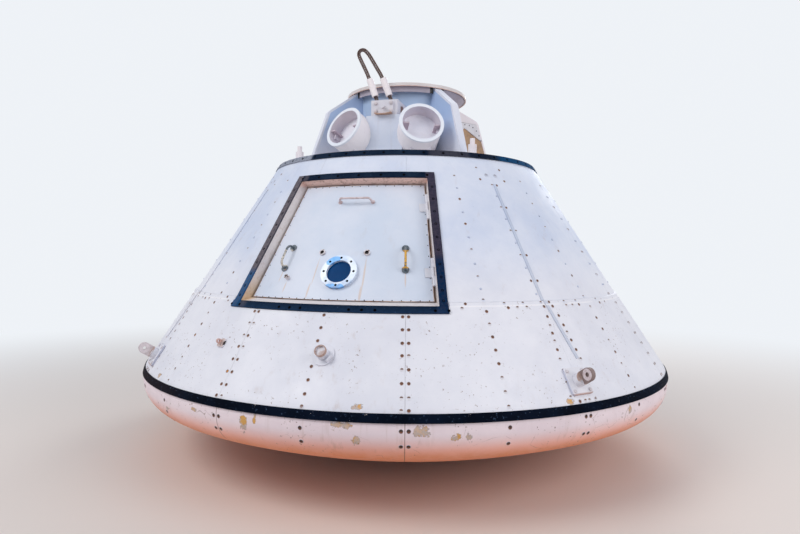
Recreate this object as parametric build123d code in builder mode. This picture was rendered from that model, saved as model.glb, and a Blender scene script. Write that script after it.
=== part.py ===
from build123d import *
import os
from math import acos, asin, cos, degrees, pi, radians, sin, sqrt, tan

# Full-size space capsule test article, in millimetres, +Z up.
# The origin is the lowest point of the dished base, on the floor.
# The middle of the crew hatch faces -Y. An azimuth is measured from there towards +X.

# Mould line: a spherical dish, a rounded corner and a straight cone
MAX_R = 1955.8
CORNER_R = 195.6
DISH_R = 4693.9
CONE_ANGLE = 32.65
RIM_Z = 2088.0

# Skin
WALL_T = 60.0
SHIELD_T = 90.0
SPLIT_RISE = 59.8
LAP_Z = 1154.0
LAP_STEP = 8.0
LOWER_PROUD = 4.0
SEAM_GAP = 0.6
FIT = 0.3

# Floor and forward deck
FLOOR_T = 40.0
DECK_DROP = 8.0
DECK_T = 40.0

# Bands and seam battens
BASE_BAND_W = 44.0
BASE_BAND_T = 5.0
RIM_BAND_W = 44.0
RIM_BAND_T = 6.0
BATTEN_W = 18.0
BATTEN_T = 5.0
BATTEN_GAP = 2.0
BATTEN_LOW_Z = 842.0
BATTEN_HIGH_Z = 1872.0
BATTEN_FOOT_AZ = 1.3
BATTEN_FOOT_TURN = 9.5

# Hatchway: its sides lie in planes through the capsule's axis
HATCH_HALF_AZ = 22.0
HATCH_SILL_Z = 1130.0
HATCH_HEAD_Z = 1893.0
REVEAL_DEPTH = 60.0
SILL_INNER_Z = 1147.0
JAMB_AZ = 1.6
JAMB_T = 44.0
JAMB_DEPTH = 152.0
STOP_LIP = 22.0
STOP_T = 18.0
TRIM_W = 48.0
TRIM_T = 8.0
STRIP_GAP = 1.0

# Crew hatch
DOOR_T = 65.0
DOOR_GAP = 8.0
PORT_Z = 1305.0
PORT_FLANGE_R = 110.0
PORT_GLASS_R = 74.5
PORT_BORE_R = 82.0
PORT_FLANGE_T = 18.0
PORT_PAD_W = 2.0
PORT_GLASS_T = 16.0
GRAB_AZ = 15.4
GRAB_LOW_Z = 1324.0
GRAB_HIGH_Z = 1447.0
GRAB_BAR_R = 7.0
GRAB_REACH = 52.0
GRAB_BEND_R = 39.0
GRAB_FLANGE_R = 22.0
GRAB_FLANGE_T = 7.0
PULL_AZ = 5.3
PULL_Z = 1737.0
PULL_BAR_R = 6.5
PULL_REACH = 44.0
PULL_LEAN = 6.0
PULL_BEND_R = 22.0
PULL_FOOT_R = 13.0
PULL_FOOT_T = 5.0
SOCKET_AZ = 5.9
SOCKET_Z = 1421.0
SOCKET_R = 19.0
SOCKET_BORE_R = 11.0
SOCKET_T = 9.0
SPIGOT_AZ = -13.2
SPIGOT_Z = 1268.0
SPIGOT_R = 13.0
SPIGOT_L = 26.0

# Hatch hinge, its pin along the hatchway's straight side edge
# fractions of the hatch's height
HINGE_PLACES = (0.22, 0.78)
HINGE_RISE = 14.0
HINGE_R = 8.0
PIN_R = 3.5
PIN_FIT = 0.08
KNUCKLE_L = 60.0
KNUCKLE_GAP = 1.0
HINGE_LEAF_W = 46.0
HINGE_LEAF_T = 5.0

# Recovery compartment
TUNNEL_R = 405.0
TUNNEL_T = 12.0
TUNNEL_H = 578.0
TUNNEL_FOOT_W = 34.0
TUNNEL_FOOT_T = 10.0
COVER_OVER = 71.0
COVER_T = 16.0
COVER_LIP = 9.0
COVER_FOLD = 12.0
COVER_EDGE = 5.0
CHANNEL_W = 46.0
CHANNEL_H = 42.0
CHANNEL_T = 5.0
CHANNEL_DROP = 3.0
TAPER_W = 55.0
CHANNEL_HALF_AZ = 40.8

# Gussets: radial frames at the four corners of the compartment
GUSSET_AZ = 45.0
GUSSET_POST_GAP = 75.0
REAR_POST_GAP = 43.0
GUSSET_COVER_GAP = 24.0
REAR_COVER_GAP = 42.0
KNUCKLE_OUT = 0.664
KNUCKLE_DROP = 170.0
REAR_KNUCKLE_OUT = 0.624
REAR_KNUCKLE_DROP = 92.0
GUSSET_T = 14.0
GUSSET_FLANGE_W = 55.0
GUSSET_FLANGE_T = 12.0
GUSSET_BEND_R = 60.0
GUSSET_BASE_T = 8.0
DOUBLER_T = 8.0
DOUBLER_DROP = 110.0

# Mortar tubes
MORTAR_R = 153.0
MORTAR_WALL = 19.0
MORTAR_L = 240.0
MORTAR_CUP = 100.0
MORTAR_SIDE = 290.0
MORTAR_REACH = 255.0
MORTAR_RISE = 250.0
MORTAR_TILT = 23.0
MORTAR_SPREAD = 25.0
MORTAR_LIP_W = 5.0
MORTAR_LIP_T = 14.0
TAB_W = 62.0
TAB_T = 12.0
TAB_H = 52.0
TAB_TURN = 12.0
CRADLE_HALF_W = 74.0
CRADLE_L = 140.0

# Harness fitting on the hatch's centre plane
PEDESTAL_W = 268.0
BOX_W = 200.0
BOX_H = 108.0
BOX_REACH = 205.0
BOX_STEP = 2.0
BOX_DROP = 142.0
BOX_ROUND = 12.0
CLAMP_W = 142.0
CLAMP_H = 84.0
CLAMP_T = 16.0
PEG_R = 13.0
PEG_L = 30.0

# Steel rope loop and its two sleeves
ROPE_R = 7.0
ROPE_SET_BACK = 50.0
ROPE_SIDE = 7.2
ROPE_SEAT = 8.0
ROPE_HOLE_R = 19.0
ROPE_BEND = 0.45
LEG_BEND = 0.07
SLEEVE_R = 24.5
SLEEVE_RISE = 46.0
SLEEVE_L = 134.0
# columns: sideways from the hatch's centre plane, height over the harness box
ROPE_ROUTE = (
    (-65.0, -2.8),
    (-129.0, 176.0),
    (-174.0, 270.0),
    (-204.0, 330.0),
    (-214.0, 360.0),
    (-202.0, 383.0),
    (-172.0, 387.0),
    (-141.0, 358.0),
    (-114.0, 316.0),
    (-80.0, 258.0),
    (-24.0, 166.0),
    (41.0, -2.8),
)

# Leg posts on the deck
POST_INSET = 39.0
POST_PLATE_R = 33.0
POST_PLATE_T = 8.0
POST_BASE_R = 29.0
POST_BASE_Z = 2165.0
POST_STUD_R = 17.0
POST_STUD_Z = 2206.0

# Lift lugs, tie lug and stub fitting on the lower skirt
LUG_Z = 737.0
LUG_PLATE_W = 146.0
LUG_PLATE_H = 152.0
LUG_PLATE_T = 12.0
LUG_BOSS_R = 36.0
LUG_BOSS_T = 38.0
LUG_TONGUE_T = 24.0
LUG_TONGUE_R = 36.0
LUG_REACH = 96.0
LUG_EYE_R = 11.0
TIE_AZ = -20.7
TIE_Z = 895.0
TIE_PLATE = 52.0
TIE_PLATE_T = 9.0
TIE_R = 14.0
TIE_EYE_R = 6.0
TIE_REACH = 30.0
STUB_AZ = 1.6
STUB_Z = 884.0
STUB_PAD_R = 62.0
STUB_PAD_T = 6.0
STUB_R = 32.5
STUB_WALL = 5.5
STUB_L = 54.0
STUB_BORE = 12.0
STUB_TAB_TURN = -32.0
STUB_TAB_OUT = 52.0
STUB_TAB_W = 40.0
STUB_TAB_T = 7.0
STUB_TAB_H = 30.0

SLOPE = tan(radians(CONE_ANGLE))
CORNER_X = MAX_R - CORNER_R
CORNER_Z = DISH_R - sqrt((DISH_R - CORNER_R) ** 2 - CORNER_X**2)
SPLIT_Z = CORNER_Z + SPLIT_RISE
TANGENT_R = CORNER_X + CORNER_R * cos(radians(CONE_ANGLE))
TANGENT_Z = CORNER_Z + CORNER_R * sin(radians(CONE_ANGLE))
UPPER_INSET = LAP_STEP - LOWER_PROUD
DECK_Z = RIM_Z - DECK_DROP
TUNNEL_TOP_Z = DECK_Z + TUNNEL_H
COVER_R = TUNNEL_R + COVER_OVER
BOX_Z = TUNNEL_TOP_Z - BOX_DROP
BOX_OUT = TUNNEL_R + BOX_REACH
PEDESTAL_Z = BOX_Z - BOX_H
PEDESTAL_OUT = BOX_OUT + BOX_STEP
ROPE_OUT = BOX_OUT - ROPE_SET_BACK
MORTAR_OUT = TUNNEL_R + MORTAR_REACH
MORTAR_Z = DECK_Z + MORTAR_RISE


def cone_r(z, depth=0.0):
    """Radius of the cone at height z, depth millimetres under the mould line."""
    return TANGENT_R - (z - TANGENT_Z) * SLOPE - depth / cos(radians(CONE_ANGLE))


POST_PCR = cone_r(DECK_Z, WALL_T) - POST_INSET
GUSSET_FOOT_R = POST_PCR - GUSSET_POST_GAP
REAR_FOOT_R = POST_PCR - REAR_POST_GAP
GUSSET_TOP_R = COVER_R - GUSSET_COVER_GAP
REAR_TOP_R = COVER_R - REAR_COVER_GAP
REAR_KNUCKLE_R = TUNNEL_R + REAR_KNUCKLE_OUT * (REAR_FOOT_R - TUNNEL_R)


def under(z, depth):
    """The point that lies depth under the mould line, square to it, below height z."""
    a = radians(CONE_ANGLE)
    return (cone_r(z) - depth * cos(a), z - depth * sin(a))


def radial_plane(az):
    """Upright plane through the capsule's axis: x runs outwards and y runs up."""
    a = radians(az)
    return Plane((0, 0, 0), x_dir=(sin(a), -cos(a), 0), z_dir=(-cos(a), -sin(a), 0))


def skin_plane(az, z, depth=0.0):
    """Plane that touches the skin: x runs round, y up the slope and z straight out."""
    a = radians(az)
    tilt = radians(CONE_ANGLE)
    r, h = under(z, depth)
    origin = (r * sin(a), -r * cos(a), h)
    normal = (cos(tilt) * sin(a), -cos(tilt) * cos(a), sin(tilt))
    return Plane(origin, x_dir=(cos(a), sin(a), 0), z_dir=normal)


def deck_plane(az, r, z):
    """Level plane at height z and radius r: x runs round and y runs inwards."""
    a = radians(az)
    return Plane((r * sin(a), -r * cos(a), z), x_dir=(cos(a), sin(a), 0), z_dir=(0, 0, 1))


def sector(profile, az_from, az_to):
    """Ring segment: an outline of (radius, height) points turned from one azimuth to another."""
    with BuildPart() as piece:
        with BuildSketch(radial_plane(az_from)):
            with BuildLine():
                Polyline(*profile, close=True)
            make_face()
        revolve(axis=Axis.Z, revolution_arc=az_to - az_from)
    return piece.part


def keep(piece, name):
    piece.label = name
    export_step(piece, f"parts/{name}.step")


os.makedirs("parts", exist_ok=True)

# Heat shield: the dished base with its rounded corner, a shell of even thickness
dish_turn = asin(CORNER_X / (DISH_R - CORNER_R))


def shield_outline(inset):
    """Points of one face of the shield: axis, dish middle, dish end, corner middle, split."""
    dish = DISH_R - inset
    corner = CORNER_R - inset
    split_turn = asin((SPLIT_Z - CORNER_Z) / corner)
    low_turn = dish_turn - pi / 2
    mid_turn = (low_turn + split_turn) / 2
    return (
        (0, DISH_R - dish),
        (dish * sin(dish_turn / 2), DISH_R - dish * cos(dish_turn / 2)),
        (dish * sin(dish_turn), DISH_R - dish * cos(dish_turn)),
        (CORNER_X + corner * cos(mid_turn), CORNER_Z + corner * sin(mid_turn)),
        (CORNER_X + corner * cos(split_turn), SPLIT_Z),
    )


outer = shield_outline(0)
inner = shield_outline(SHIELD_T)
with BuildPart() as heat_shield:
    with BuildSketch(Plane.XZ):
        with BuildLine():
            ThreePointArc(outer[0], outer[1], outer[2])
            ThreePointArc(outer[2], outer[3], outer[4])
            Line(outer[4], inner[4])
            ThreePointArc(inner[4], inner[3], inner[2])
            ThreePointArc(inner[2], inner[1], inner[0])
            Line(inner[0], outer[0])
        make_face()
    revolve(axis=Axis.Z)
keep(heat_shield.part, "heat_shield")

# Cabin floor, seated on the shield's rim inside the skirt
floor_top = SPLIT_Z + FLOOR_T
wall_corner = CORNER_R - WALL_T
floor_low_r = CORNER_X + sqrt(wall_corner**2 - (SPLIT_Z - CORNER_Z) ** 2) - FLOOR_T / 2
floor_top_r = cone_r(floor_top, WALL_T) - 2 * FIT
with BuildPart() as cabin_floor:
    with BuildSketch(Plane.XZ):
        with BuildLine():
            Polyline(
                (0, SPLIT_Z),
                (floor_low_r, SPLIT_Z),
                (floor_top_r, floor_top),
                (0, floor_top),
                close=True,
            )
        make_face()
    revolve(axis=Axis.Z)
keep(cabin_floor.part, "cabin_floor")

# Jamb: a deep frame round the hatchway, with a stop lip behind the hatch
sill_foot = SILL_INNER_Z + REVEAL_DEPTH * sin(radians(CONE_ANGLE))
up = cos(radians(CONE_ANGLE))
jamb_low = HATCH_SILL_Z - JAMB_T * up
jamb_high = HATCH_HEAD_Z + JAMB_T * up
jamb_half = HATCH_HALF_AZ + JAMB_AZ


def jamb_envelope(margin, depth):
    """The block that the jamb fills, grown by a margin on every side."""
    half = jamb_half + degrees(margin / cone_r(HATCH_HEAD_Z))
    low = jamb_low - margin
    high = jamb_high + margin
    outline = (under(low, -depth), under(high, -depth), under(high, depth), under(low, depth))
    return sector(outline, -half, half)


jamb_outline = (
    under(jamb_low, UPPER_INSET),
    under(jamb_high, UPPER_INSET),
    under(jamb_high, JAMB_DEPTH),
    under(jamb_low, JAMB_DEPTH),
)
way_outline = (
    under(HATCH_SILL_Z, -LAP_STEP),
    under(HATCH_HEAD_Z, -LAP_STEP),
    under(HATCH_HEAD_Z, JAMB_DEPTH - STOP_T),
    under(sill_foot, JAMB_DEPTH - STOP_T),
    under(sill_foot, REVEAL_DEPTH),
    under(HATCH_SILL_Z, 0),
)
lip_outline = (
    under(sill_foot + STOP_LIP * up, REVEAL_DEPTH),
    under(HATCH_HEAD_Z - STOP_LIP * up, REVEAL_DEPTH),
    under(HATCH_HEAD_Z - STOP_LIP * up, JAMB_DEPTH + STOP_T),
    under(sill_foot + STOP_LIP * up, JAMB_DEPTH + STOP_T),
)
lip_half = HATCH_HALF_AZ - degrees(STOP_LIP / cone_r(HATCH_HEAD_Z, JAMB_DEPTH))
hatch_jamb = (
    sector(jamb_outline, -jamb_half, jamb_half)
    - sector(way_outline, -HATCH_HALF_AZ, HATCH_HALF_AZ)
    - sector(lip_outline, -lip_half, lip_half)
)
keep(hatch_jamb, "hatch_jamb")

# Lower skirt: four panels that lap over the upper cone
seam_half = degrees(SEAM_GAP / 2 / cone_r(LAP_Z))
split_outer = CORNER_X + sqrt((CORNER_R + LOWER_PROUD) ** 2 - (SPLIT_Z - CORNER_Z) ** 2)
split_inner = CORNER_X + sqrt(wall_corner**2 - (SPLIT_Z - CORNER_Z) ** 2)


def bend_turn(radius):
    """Middle turn of the rounded corner between the split and the cone."""
    return (asin((SPLIT_Z - CORNER_Z) / radius) + radians(CONE_ANGLE)) / 2


def corner_point(radius, turn):
    return (CORNER_X + radius * cos(turn), CORNER_Z + radius * sin(turn))


def skirt_panel(az_from, az_to):
    """One lower panel, its foot bent in along the rounded corner."""
    out_r = CORNER_R + LOWER_PROUD
    with BuildPart() as panel:
        with BuildSketch(radial_plane(az_from + seam_half)):
            with BuildLine():
                ThreePointArc(
                    (split_outer, SPLIT_Z),
                    corner_point(out_r, bend_turn(out_r)),
                    corner_point(out_r, radians(CONE_ANGLE)),
                )
                Line(corner_point(out_r, radians(CONE_ANGLE)), (cone_r(LAP_Z, -LOWER_PROUD), LAP_Z))
                Line((cone_r(LAP_Z, -LOWER_PROUD), LAP_Z), (cone_r(LAP_Z, WALL_T), LAP_Z))
                Line((cone_r(LAP_Z, WALL_T), LAP_Z), corner_point(wall_corner, radians(CONE_ANGLE)))
                ThreePointArc(
                    corner_point(wall_corner, radians(CONE_ANGLE)),
                    corner_point(wall_corner, bend_turn(wall_corner)),
                    (split_inner, SPLIT_Z),
                )
                Line((split_inner, SPLIT_Z), (split_outer, SPLIT_Z))
            make_face()
        revolve(axis=Axis.Z, revolution_arc=az_to - az_from - 2 * seam_half)
    return panel.part


# columns: name, first azimuth, last azimuth
LOWER_PANELS = (
    ("front", -45, 45),
    ("right", 45, 135),
    ("rear", 135, 225),
    ("left", 225, 315),
)
for side, az_from, az_to in LOWER_PANELS:
    panel = skirt_panel(az_from, az_to)
    if side == "front":
        panel = panel - jamb_envelope(FIT, JAMB_DEPTH)
        notch_half = HATCH_HALF_AZ + degrees((TRIM_W + LAP_STEP) / cone_r(HATCH_SILL_Z))
        notch = (
            under(HATCH_SILL_Z, -LAP_STEP),
            (cone_r(LAP_Z, -LAP_STEP), LAP_Z + SEAM_GAP),
            (cone_r(LAP_Z, UPPER_INSET), LAP_Z + SEAM_GAP),
            under(HATCH_SILL_Z, UPPER_INSET),
        )
        panel = panel - sector(notch, -notch_half, notch_half)
    keep(panel, f"lower_panel_{side}")

# Upper cone: panels between the lap and the rim
upper_outline = (
    (cone_r(LAP_Z + SEAM_GAP, UPPER_INSET), LAP_Z + SEAM_GAP),
    (cone_r(RIM_Z, UPPER_INSET), RIM_Z),
    (cone_r(RIM_Z, WALL_T), RIM_Z),
    (cone_r(LAP_Z + SEAM_GAP, WALL_T), LAP_Z + SEAM_GAP),
)
HEAD_SEAM_AZ = HATCH_HALF_AZ + JAMB_AZ / 2
# columns: name, first azimuth, last azimuth
UPPER_PANELS = (
    ("over_hatch", -HEAD_SEAM_AZ, HEAD_SEAM_AZ),
    ("front_right", HEAD_SEAM_AZ, 45),
    ("right", 45, 135),
    ("rear", 135, 225),
    ("left", 225, 315),
    ("front_left", 315, 360 - HEAD_SEAM_AZ),
)
for side, az_from, az_to in UPPER_PANELS:
    panel = sector(upper_outline, az_from + seam_half, az_to - seam_half)
    if side in ("over_hatch", "front_left", "front_right"):
        panel = panel - jamb_envelope(FIT, JAMB_DEPTH)
    if side == "over_hatch":
        low = (
            (cone_r(LAP_Z) + WALL_T, LAP_Z - WALL_T),
            (cone_r(LAP_Z) + WALL_T, HATCH_HEAD_Z),
            (cone_r(HATCH_HEAD_Z, 2 * WALL_T), HATCH_HEAD_Z),
            (cone_r(HATCH_HEAD_Z, 2 * WALL_T), LAP_Z - WALL_T),
        )
        panel = panel - sector(low, -45, 45)
    keep(panel, f"upper_panel_{side}")

# Dark band over the joint between the shield and the skirt
band_low = SPLIT_Z - BASE_BAND_W / 2
band_high = SPLIT_Z + BASE_BAND_W / 2
band_in = CORNER_R + LOWER_PROUD + FIT
band_out = band_in + BASE_BAND_T


def corner_r(radius, z):
    return CORNER_X + sqrt(radius**2 - (z - CORNER_Z) ** 2)


band_parts = []
for index in range(4):
    with BuildPart() as band:
        with BuildSketch(radial_plane(45 + 90 * index + seam_half)):
            with BuildLine():
                ThreePointArc(
                    (corner_r(band_out, band_low), band_low),
                    (corner_r(band_out, SPLIT_Z), SPLIT_Z),
                    (corner_r(band_out, band_high), band_high),
                )
                Line((corner_r(band_out, band_high), band_high), (corner_r(band_in, band_high), band_high))
                ThreePointArc(
                    (corner_r(band_in, band_high), band_high),
                    (corner_r(band_in, SPLIT_Z), SPLIT_Z),
                    (corner_r(band_in, band_low), band_low),
                )
                Line((corner_r(band_in, band_low), band_low), (corner_r(band_out, band_low), band_low))
            make_face()
        revolve(axis=Axis.Z, revolution_arc=90 - 2 * seam_half)
    band_parts.append(band.part)
keep(Compound(children=band_parts), "base_band")

# Dark band round the top of the cone
rim_low = RIM_Z - RIM_BAND_W * up
rim_outline = (
    (cone_r(rim_low, UPPER_INSET - FIT), rim_low),
    (cone_r(RIM_Z, UPPER_INSET - FIT), RIM_Z),
    (cone_r(RIM_Z, UPPER_INSET - RIM_BAND_T), RIM_Z),
    (cone_r(rim_low, UPPER_INSET - RIM_BAND_T), rim_low),
)
RIM_JOINTS = (-60, 35, 51, 120, 210, 300)
rim_parts = []
for az_from, az_to in zip(RIM_JOINTS, RIM_JOINTS[1:]):
    rim_parts.append(sector(rim_outline, az_from + seam_half, az_to - seam_half))
keep(Compound(children=rim_parts), "rim_band")

# Seam battens by the four corner seams; the lower lengths slant away from the hatch or the back
batten_parts = []
# columns: low end, high end, depth of the skin under the mould line, azimuth added, turn
BATTENS = (
    (BATTEN_LOW_Z, LAP_Z - BATTEN_GAP, -LOWER_PROUD, BATTEN_FOOT_AZ, BATTEN_FOOT_TURN),
    (LAP_Z + BATTEN_GAP, BATTEN_HIGH_Z, UPPER_INSET, 0, 0),
)
# columns: azimuth of the seam, side that the lower length slants to
BATTEN_SEAMS = ((45, 1), (135, -1), (225, 1), (315, -1))
for seam_az, lean in BATTEN_SEAMS:
    for low, high, depth, extra, turn in BATTENS:
        length = (high - low) / up
        with BuildPart() as batten:
            with BuildSketch(skin_plane(seam_az + lean * extra, (low + high) / 2, depth - FIT)):
                Rectangle(BATTEN_W, length, rotation=lean * turn)
            extrude(amount=BATTEN_T)
        batten_parts.append(batten.part)
keep(Compound(children=batten_parts), "seam_battens")

# Dark trim round the hatchway: the side strips stand on the bottom strip
trim_half = HATCH_HALF_AZ + degrees(TRIM_W / cone_r(HATCH_HEAD_Z))
sill_half = HATCH_HALF_AZ + degrees(TRIM_W / cone_r(HATCH_SILL_Z))
sill_low = HATCH_SILL_Z - JAMB_T * up


def strip_outline(low, high, depth):
    return (
        under(low, depth - FIT),
        under(high, depth - FIT),
        under(high, depth - TRIM_T),
        under(low, depth - TRIM_T),
    )


trim_parts = [
    sector(strip_outline(HATCH_HEAD_Z, jamb_high, UPPER_INSET), -trim_half, trim_half),
    sector(strip_outline(sill_low, HATCH_SILL_Z - FIT, -LOWER_PROUD), -sill_half, sill_half),
]
side_length = (HATCH_HEAD_Z - HATCH_SILL_Z) / up - 2 * STRIP_GAP
for side in (-1, 1):
    middle = skin_plane(side * HATCH_HALF_AZ, (HATCH_HEAD_Z + HATCH_SILL_Z) / 2, UPPER_INSET - FIT)
    with BuildPart() as strip:
        with BuildSketch(middle):
            with Locations((side * TRIM_W / 2, 0)):
                Rectangle(TRIM_W, side_length)
        extrude(amount=TRIM_T)
    trim_parts.append(strip.part)
keep(Compound(children=trim_parts), "hatch_trim")

# Forward deck, an annular plate inside the rim
deck_low = DECK_Z - DECK_T
with BuildPart() as deck:
    with BuildSketch(Plane.XZ):
        with BuildLine():
            Polyline(
                (TUNNEL_R + FIT, deck_low),
                (cone_r(deck_low, WALL_T) - FIT, deck_low),
                (cone_r(DECK_Z, WALL_T) - FIT, DECK_Z),
                (TUNNEL_R + FIT, DECK_Z),
                close=True,
            )
        make_face()
    revolve(axis=Axis.Z)
keep(deck.part, "deck")

# Tunnel with its foot ring on the deck
with BuildPart() as tunnel:
    with BuildSketch(Plane.XZ):
        with BuildLine():
            Polyline(
                (TUNNEL_R - TUNNEL_T, deck_low),
                (TUNNEL_R, deck_low),
                (TUNNEL_R, DECK_Z),
                (TUNNEL_R + TUNNEL_FOOT_W, DECK_Z),
                (TUNNEL_R + TUNNEL_FOOT_W, DECK_Z + TUNNEL_FOOT_T),
                (TUNNEL_R, DECK_Z + TUNNEL_FOOT_T),
                (TUNNEL_R, TUNNEL_TOP_Z),
                (TUNNEL_R - TUNNEL_T, TUNNEL_TOP_Z),
                close=True,
            )
        make_face()
    revolve(axis=Axis.Z)
keep(tunnel.part, "tunnel")

# Top cover: a flat disc with a turned-down edge
with BuildPart() as top_cover:
    with BuildSketch(Plane.XZ):
        with BuildLine():
            Polyline(
                (0, TUNNEL_TOP_Z),
                (COVER_R - COVER_FOLD, TUNNEL_TOP_Z),
                (COVER_R - COVER_EDGE, TUNNEL_TOP_Z - COVER_LIP),
                (COVER_R, TUNNEL_TOP_Z - COVER_LIP),
                (COVER_R, TUNNEL_TOP_Z + COVER_T),
                (0, TUNNEL_TOP_Z + COVER_T),
                close=True,
            )
        make_face()
    revolve(axis=Axis.Z)
keep(top_cover.part, "top_cover")

# Rolled channel under the cover: open ends in the front bay, closed taper in the others
channel_top = TUNNEL_TOP_Z - CHANNEL_DROP
channel_in = TUNNEL_R + FIT
channel_outline = (
    (channel_in, channel_top),
    (channel_in + CHANNEL_W, channel_top),
    (channel_in + CHANNEL_W, channel_top - CHANNEL_H),
    (channel_in + CHANNEL_W - CHANNEL_T, channel_top - CHANNEL_H),
    (channel_in + CHANNEL_W - CHANNEL_T, channel_top - CHANNEL_T),
    (channel_in, channel_top - CHANNEL_T),
)
taper_outline = (
    (channel_in, channel_top),
    (channel_in + TAPER_W, channel_top),
    (channel_in + TAPER_W, channel_top - CHANNEL_T),
    (channel_in + CHANNEL_T, channel_top - CHANNEL_H),
    (channel_in, channel_top - CHANNEL_H),
)
channel_parts = [sector(channel_outline, -CHANNEL_HALF_AZ, CHANNEL_HALF_AZ)]
for az in (90, 180, 270):
    channel_parts.append(sector(taper_outline, az - CHANNEL_HALF_AZ, az + CHANNEL_HALF_AZ))
keep(Compound(children=channel_parts), "tunnel_channel")

# Gussets: flanged plates from the tunnel to the deck, with a knuckle in the outer edge
gusset_in = TUNNEL_R + FIT
gusset_top = TUNNEL_TOP_Z - FIT


def gusset_plane(az, turn, depth):
    """Radial plane moved to depth under the web's flat face, on the side away from turn."""
    return radial_plane(az).offset(turn * (GUSSET_FLANGE_W / 2 - depth))


def gusset(az, turn, foot_r, out, drop, top_r):
    """One gusset: a flat web with its outer and base flanges turned towards one side."""
    edge = (
        (foot_r, DECK_Z),
        (TUNNEL_R + out * (foot_r - TUNNEL_R), TUNNEL_TOP_Z - drop),
        (top_r, gusset_top),
    )
    foot_in = TUNNEL_R + TUNNEL_FOOT_W + FIT
    foot_top = DECK_Z + TUNNEL_FOOT_T + FIT
    with BuildPart() as plate:
        with BuildSketch(gusset_plane(az, turn, 0)):
            with BuildLine():
                Polyline(
                    edge[2],
                    (gusset_in, gusset_top),
                    (gusset_in, foot_top),
                    (foot_in, foot_top),
                    (foot_in, DECK_Z),
                    edge[0],
                )
                FilletPolyline(*edge, radius=GUSSET_BEND_R)
            make_face()
        extrude(amount=-turn * GUSSET_T)
        with BuildSketch(gusset_plane(az, turn, 0)):
            with BuildLine():
                FilletPolyline(*edge, radius=GUSSET_BEND_R)
                offset(amount=GUSSET_FLANGE_T, side=Side.LEFT, closed=True)
            make_face()
            with Locations((foot_r, (DECK_Z + gusset_top) / 2)):
                Rectangle(2 * foot_r, gusset_top - DECK_Z, mode=Mode.INTERSECT)
            with BuildLine():
                Polyline(
                    (foot_in, DECK_Z),
                    (foot_r - GUSSET_FLANGE_T, DECK_Z),
                    (foot_r - GUSSET_FLANGE_T, DECK_Z + GUSSET_BASE_T),
                    (foot_in, DECK_Z + GUSSET_BASE_T),
                    close=True,
                )
            make_face()
        extrude(amount=-turn * GUSSET_FLANGE_W)
    return plate.part


# columns: name, azimuth, side that the flanges turn to
FRONT_GUSSETS = (("front_right", GUSSET_AZ, 1), ("front_left", 360 - GUSSET_AZ, -1))
REAR_GUSSETS = (("rear_right", 180 - GUSSET_AZ, 1), ("rear_left", 180 + GUSSET_AZ, -1))
for name, az, turn in FRONT_GUSSETS:
    keep(gusset(az, turn, GUSSET_FOOT_R, KNUCKLE_OUT, KNUCKLE_DROP, GUSSET_TOP_R), f"gusset_{name}")
for name, az, turn in REAR_GUSSETS:
    plate = gusset(az, turn, REAR_FOOT_R, REAR_KNUCKLE_OUT, REAR_KNUCKLE_DROP, REAR_TOP_R)
    keep(plate, f"gusset_{name}")

# Doublers bolted to the rear gussets, cut away in a triangle over the web
EDGE_IN = GUSSET_FLANGE_T / 2
doubler_top = TUNNEL_TOP_Z - DOUBLER_DROP
DOUBLER_OUTLINE = (
    (gusset_in + EDGE_IN, doubler_top),
    (REAR_KNUCKLE_R - 3 * EDGE_IN, doubler_top - EDGE_IN),
    (REAR_FOOT_R - 2 * EDGE_IN, DECK_Z + 2 * TUNNEL_FOOT_T),
    (gusset_in + EDGE_IN, DECK_Z + 2 * TUNNEL_FOOT_T),
)
DOUBLER_HOLE_R = 14.0
# columns: share of the way from the tunnel to the foot, share of the way from deck to cover
DOUBLER_HOLE = (
    (0.289, 0.735),
    (0.736, 0.545),
    (0.873, 0.346),
    (0.906, 0.078),
    (0.153, 0.078),
)
hole_points = [
    (TUNNEL_R + out * (REAR_FOOT_R - TUNNEL_R), DECK_Z + rise * TUNNEL_H) for out, rise in DOUBLER_HOLE
]
doubler_parts = []
for name, az, turn in REAR_GUSSETS:
    with BuildPart() as doubler:
        with BuildSketch(gusset_plane(az, turn, -FIT)):
            with BuildLine():
                Polyline(*DOUBLER_OUTLINE, close=True)
            make_face()
            with BuildLine():
                FilletPolyline(*hole_points, radius=DOUBLER_HOLE_R, close=True)
            make_face(mode=Mode.SUBTRACT)
        extrude(amount=turn * DOUBLER_T)
    doubler_parts.append(doubler.part)
keep(Compound(children=doubler_parts), "gusset_doublers")


def mortar_plane(side):
    """Plane of a mortar tube's mouth, its normal out along the tube."""
    turn = radians(side * MORTAR_SPREAD)
    rise = radians(MORTAR_TILT)
    axis = (cos(rise) * sin(turn), -cos(rise) * cos(turn), sin(rise))
    origin = (side * MORTAR_SIDE, -MORTAR_OUT, MORTAR_Z)
    return Plane(origin, x_dir=(cos(turn), sin(turn), 0), z_dir=axis)


def mortar_space(side):
    """The cylinder that a mortar tube takes out of what cradles it."""
    with BuildPart() as space:
        with BuildSketch(mortar_plane(side).offset(-MORTAR_L - FIT)):
            Circle(MORTAR_R + FIT)
        extrude(amount=2 * MORTAR_L)
    return space.part


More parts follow.
